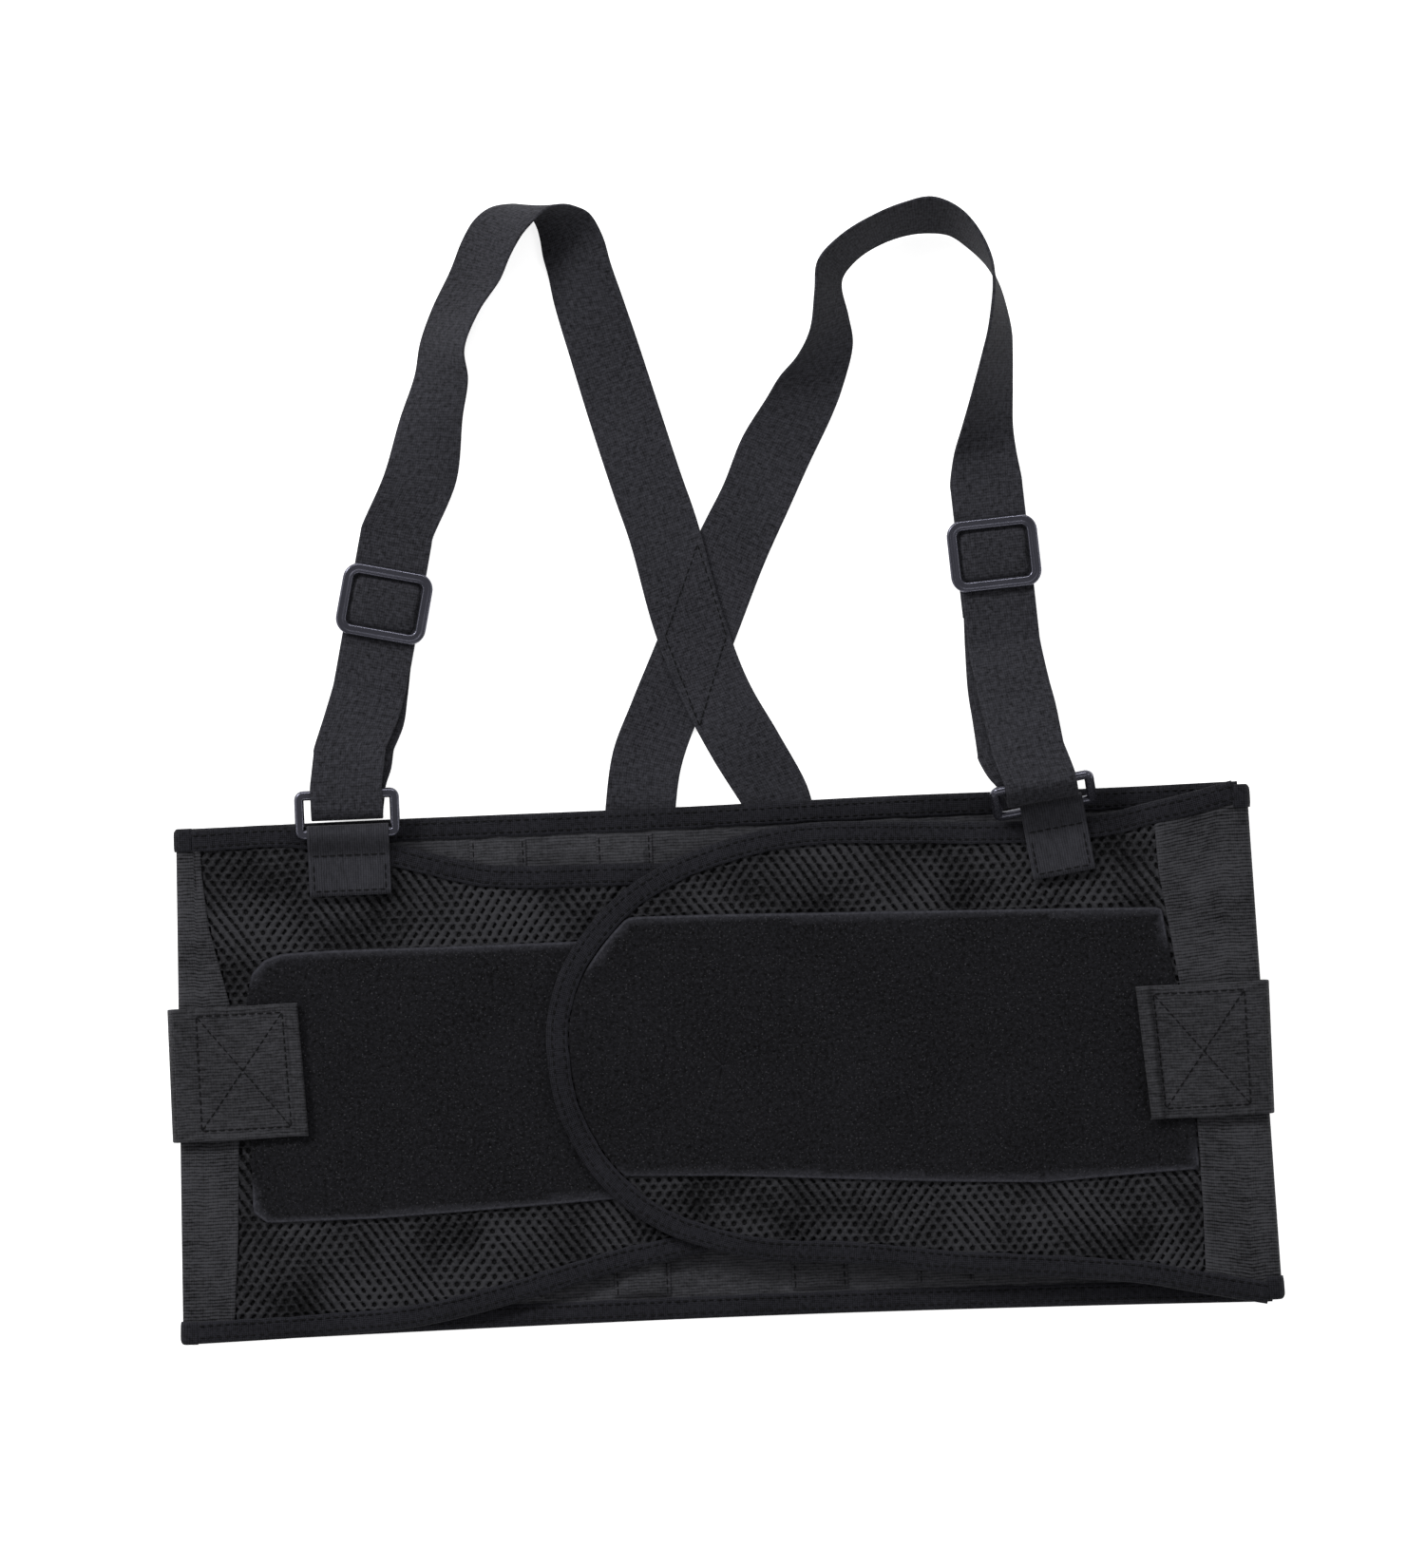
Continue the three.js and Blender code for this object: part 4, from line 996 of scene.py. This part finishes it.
def build_pull(name):
    """Pull band under the back, its wrap round the fold, and the stitched pull tab with its hooks."""
    spec = FRONTS[name]
    side, front, tab = spec["side"], name + "_front", name + "_tab"
    path, split = tab_path(name)
    t = columns(25)
    grid = np.zeros((len(path), len(t), 3))
    reach = path[:, 0].max()
    on_tab = np.clip((reach - path[:, 0]) / (reach - spec["end"]), 0, 1) * (np.arange(len(path)) > split)
    for j, u in enumerate(t):
        across = (u - 0.5) * BAND_WIDTH
        grid[:, j, 0] = side * (path[:, 0] - on_tab * across * spec["lean"] / BAND_WIDTH * side)
        wave = 0.25 * np.sin(path[:, 0] / 7.0) * on_tab
        grid[:, j, 1] = spec["pull_y"] + across - on_tab * side * 0.6 + wave
        grid[:, j, 2] = path[:, 1] + 0.12 * np.sin(across / 6.5 + path[:, 0] / 11.0) * on_tab
    if side > 0:
        grid = grid[:, ::-1]
    thick = np.full(len(path), BAND_THICK)
    thick[split:] = BAND_THICK + 0.45 * np.clip(np.arange(len(path) - split) / 10, 0, 1)
    near_end = np.arange(len(path)) >= len(path) - 19
    turned_in = 0.7 + spec["hem"]
    step = np.clip((spec["end"] + 5.0 - path[:, 0]) / 0.8, 0, 1) * near_end
    round_off = np.sqrt(np.clip((path[:, 0] - spec["end"] + 0.12) / 0.9, 0.1, 1))
    thick = thick + step * turned_in
    thick = np.where(near_end, thick * np.minimum(round_off, 1), thick)
    grid[:, :, 2] += (step * turned_in / 2)[:, None]
    normals = normals_of(grid)
    band, cloth_tab = (
        slab(f"{name}_pull_{part}_cloth", grid[span], thick[span], "band", normals[span])
        for part, span in (("band", slice(split + 1)), ("tab", slice(split, None)))
    )
    top = FRONT_Z[name][1] + 3.3
    bend(
        band, "back", front, (side * 228.5, 0, 0.8), (side * (reach - 2.2), 0, path[split, 1]),
        "side_elastic", name + "_pull_band", name + "_pull_wrap",
    )
    bend(
        cloth_tab, front, tab, (side * (reach - 2.4), 0, top), (side * (reach - 8.5), 0, top),
        "side_elastic", name + "_pull_tab",
    )
    z = top + 0.92
    y0 = spec["pull_y"]

    def at(x, across):
        share = (reach - x) / (reach - spec["end"])
        shift = side * share * across * spec["lean"] / BAND_WIDTH
        return [side * (x - shift), y0 + across - share * side * 0.6, z]

    inner, outer = spec["end"] + 7.0, spec["end"] + 44.5
    box = [at(outer, 25), at(inner, 25), at(inner, -24), at(outer, -24), at(outer, 25)]
    lines = [np.array([box[k], box[k + 1]]) for k in range(4)]
    lines += [np.array([box[0], box[2]]), np.array([box[1], box[3]])]
    rows = [spaced(line, 1.0) for line in lines]
    stitches(name + "_tab_stitching", rows, tab, "side_elastic", length=2.6, gap=0.8, radius=0.27)
    x0, x1 = spec["end"] + 2, min(reach - 8.9, spec["hook_to"])
    half = 24.5
    patch = [[side * x, y0 + s] for x, s in ((x0, -half), (x1, -half), (x1, half), (x0, half))]
    hooks(name + "_tab_patch", patch, FRONT_Z[name][1] + 2.3, 1.5, tab, "hook", name + "_tab_hook")


def build_front(name):
    """Mesh panel with its binding tape and its brushed loop field."""
    spec = FRONTS[name]
    front = name + "_front"
    low, high = FRONT_Z[name]
    outline = front_outline(name, 0.6)
    backing = cloth(
        name + "_mesh_backing", outline, low, low + 0.7, "backing", step=5, edge=0.35,
        lift=lambda x, y: 0.1 * ripple(x, y, 55) - 0.05,
    )
    ride(backing, front, "spacer_mesh")
    run = offset(spaced(curve(spec["run"], 8), 1.6), 0.3 - BINDING)
    side = spec["side"]
    cap = np.array([[side * 300, run[-1, 1]], [side * 300, run[0, 1]]])
    bound = np.vstack([run, cap])
    field = np.array(FIELDS[name], float)
    loose = spaced(np.vstack([field, field[:1]]), 2.0)[:-1]
    keep = within(loose, bound) & (away(loose, bound) > 0.2)
    crossing = run[within(run, field)]
    shape = clip_field(loose[keep], crossing)

    def shown(c):
        ok = within(c, outline) & (away(c, outline) > 1.2)
        hidden = within(c, shape) & (away(c, shape) > 5.5)
        return ok & ~hidden

    face = knit(name + "_mesh_face", shown, low + 0.75, high + 0.05)
    ride(face, front, "spacer_mesh", name + "_front_panel")
    ride(tape(name + "_edge_tape", spec["run"], low, high), front, "binding_tape", name + "_edge_binding")
    tape_stitches(name + "_edge_stitching", spec["run"], high, front)
    loop = cloth(
        name + "_loop_cloth", shape, high + 0.15, high + 1.2, "velvet", step=3.2, edge=1.3,
        lift=lambda x, y: 0.10 * ripple(x, y, 48), rim_width=0.75, rim_from=40,
    )
    ride(loop, front, "velvet_loop", name + "_loop_field")


def clip_field(loose, crossing):
    """The field's outline: its own line where that is free, and elsewhere the tape's inner edge."""
    points = np.vstack([loose, crossing])
    centre = points.mean(axis=0)
    angle = np.arctan2(points[:, 1] - centre[1], (points[:, 0] - centre[0]) * 0.35)
    return points[np.argsort(angle)]


def build_straps(name):
    """Ring in its tab, suspender from the ring over the shoulder to the back, and slider."""
    spec = FRONTS[name]
    front, link, buckle = name + "_front", name + "_link", name + "_buckle"
    seat = FRONT_Z[name][1] + 1.55
    ring_z = seat + FOLD_R - 0.2
    at, degrees = (*spec["ring_at"], ring_z), spec["turn"]
    pitch = RING["height"] - RING["bar"]
    points, faces = moulded(RING, 0.25)
    tilt = math.radians(spec["tilt"])
    reach = points[:, 1] + pitch / 2
    tipped = np.column_stack([
        points[:, 0] + spec["shift"],
        reach * math.cos(tilt) - points[:, 2] * math.sin(tilt),
        reach * math.sin(tilt) + points[:, 2] * math.cos(tilt),
    ])
    points = turned(tipped, at, degrees)
    ring = build(name + "_ring_moulded", points, faces, "plastic")
    ride(ring, link, "buckle_plastic", name + "_ring")

    # Folded tab that holds the ring
    d = spec["down"]
    path = [
        [-d, seat], [-12, seat], [-3, seat], [0.6, seat + 0.15], [2.9, ring_z - 1.9], [3.4, ring_z],
        [2.4, ring_z + 2.4], [0, ring_z + FOLD_R], [-3, ring_z + 2.4], [-9, seat + 1.7], [-13, seat + 1.25],
        [-d, seat + 1.25],
    ]
    half = spec["tab_width"] / 2
    flat_at = (*spec["ring_at"], 0)
    grid = turned(even_strip(path, half, 6, 15), flat_at, degrees)
    tab = slab(name + "_ring_tab_cloth", grid, 0.85, "webbing")
    ride(tab, front, "webbing", name + "_ring_tab")
    z = seat + 1.25 + 0.52
    lines = [
        [[-half + 1.5, -9.2, z + 0.45], [half - 1.5, -9.2, z + 0.45]],
        [[-half + 2.2, -d + 2.2, z], [half - 2.2, -d + 2.2, z]],
        [[-half + 2.2, -d + 2.2, z], [-half + 2.2, -13, z]],
        [[half - 2.2, -d + 2.2, z], [half - 2.2, -13, z]],
    ]
    rows = [turned(spaced(line, 1.0), flat_at, degrees) for line in lines]
    stitches(name + "_ring_tab_stitching", rows, front, "webbing")

    # Lower strap: inner layer down from the slider, round the ring, outer layer back up
    bar_y, bar_z = pitch * math.cos(tilt), pitch * math.sin(tilt)
    turn_rows = []
    for s, z, shift in spec["loop"]:
        lean = shift + spec["skew"] * max(0, s - 3)
        pair = [[lean + edge, bar_y + s, bar_z + z] for edge in (-STRAP_HALF, STRAP_HALF)]
        left, right = turned(pair, at, degrees)
        turn_rows.append([*left, *right])
    lower = [*spec["inner"][::-1], *turn_rows, *spec["strap"][: spec["join"] + 1]]
    lower_grid = strip(lower, 6, 13)
    lower_piece = slab(name + "_lower_strap", lower_grid, WEBBING, "strap")
    length = lengths(lower_grid[:, 8])[-1]
    middle_x = spec["ring_at"][0]
    bend(
        lower_piece, front, link, (middle_x, 165, 10), (middle_x, 128, 10), "webbing",
        name + "_inner_strap", name + "_strap_loop",
    )

    # Upper strap: from the slider over the shoulder and down to the back
    upper = [*spec["strap"][spec["join"] :], *spec["behind"]]
    upper_piece = slab(name + "_suspender", strip(upper, 8, 13), WEBBING, "strap", start=length)
    bend(upper_piece, "back", front, *spec["hang"], "webbing", name + "_back_strap", name + "_front_strap")

    # Slider and the strap's sewn end round its centre bar
    place = (*spec["slider_at"], SLIDER_Z)
    frame_points, frame_faces = moulded(SLIDER, 0.7)
    parts = [(frame_points + [0, 0, 2.5], frame_faces), rounded_bar(38.0, 4.4, 2.1, -3.35)]
    for s in (-1, 1):
        post, post_faces = rounded_bar(6.8, 4.2, 3.0)
        post = np.column_stack([post[:, 2] + s * 17.6, post[:, 1], post[:, 0] - 1.1])
        parts.append((post, [f[::-1] for f in post_faces]))
    points, faces, base = [], [], 0
    for p, f in parts:
        points.append(p)
        faces += [[v + base for v in face] for face in f]
        base += len(p)
    points = turned(np.vstack(points), place, spec["slider_turn"])
    slider = build(name + "_slider_moulded", points, faces, "plastic")
    ride(slider, buckle, "buckle_plastic", name + "_slider")
    grid = turned(even_strip(STRAP_END, 15, 5, 13, spec["end_shift"]), place, spec["slider_turn"])
    end_piece = slab(name + "_strap_end_cloth", grid, 1.0, "webbing")
    ride(end_piece, buckle, "webbing", name + "_strap_end")
    half = 13.9
    grid = even_strip(STRAP_HUMP, half, 4, 15)
    grid[:, :, 2] -= 1.1 * (np.abs(grid[:, :, 0]) / half) ** 8
    grid = turned(grid, place, spec["slider_turn"])
    arch_piece = slab(name + "_strap_over_bar", grid, 1.1, "strap", rim=0.9)
    ride(arch_piece, buckle, "webbing")


for front_name in ("left", "right"):
    build_front(front_name)
    build_side(front_name)
    build_pull(front_name)
    build_straps(front_name)

# Closure hook patch under the right panel's tip
run = offset(spaced(curve(RIGHT_EDGE, 6), 2.0), -BINDING - 1.5)
tip = run[(run[:, 0] < -22) & (np.abs(run[:, 1] - 4) < 42)]
tip = tip[np.argsort(-tip[:, 1])]
closure = np.vstack([[[-22, 46]], tip, [[-22, -38]]])
hooks("closure_patch", closure, 11.7, 1.8, "right_front", "hook", "right_closure_hook")

# Diamond of stitches where the suspenders cross
diamond = np.array([[-1, 223], [-16.5, 184], [-3.5, 145], [9.5, 183], [-1, 223]])
rows = [level(spaced(diamond[k : k + 2], 1.0), 3.02) for k in range(4)]
stitches("crossing_stitching", rows, "back", "webbing")
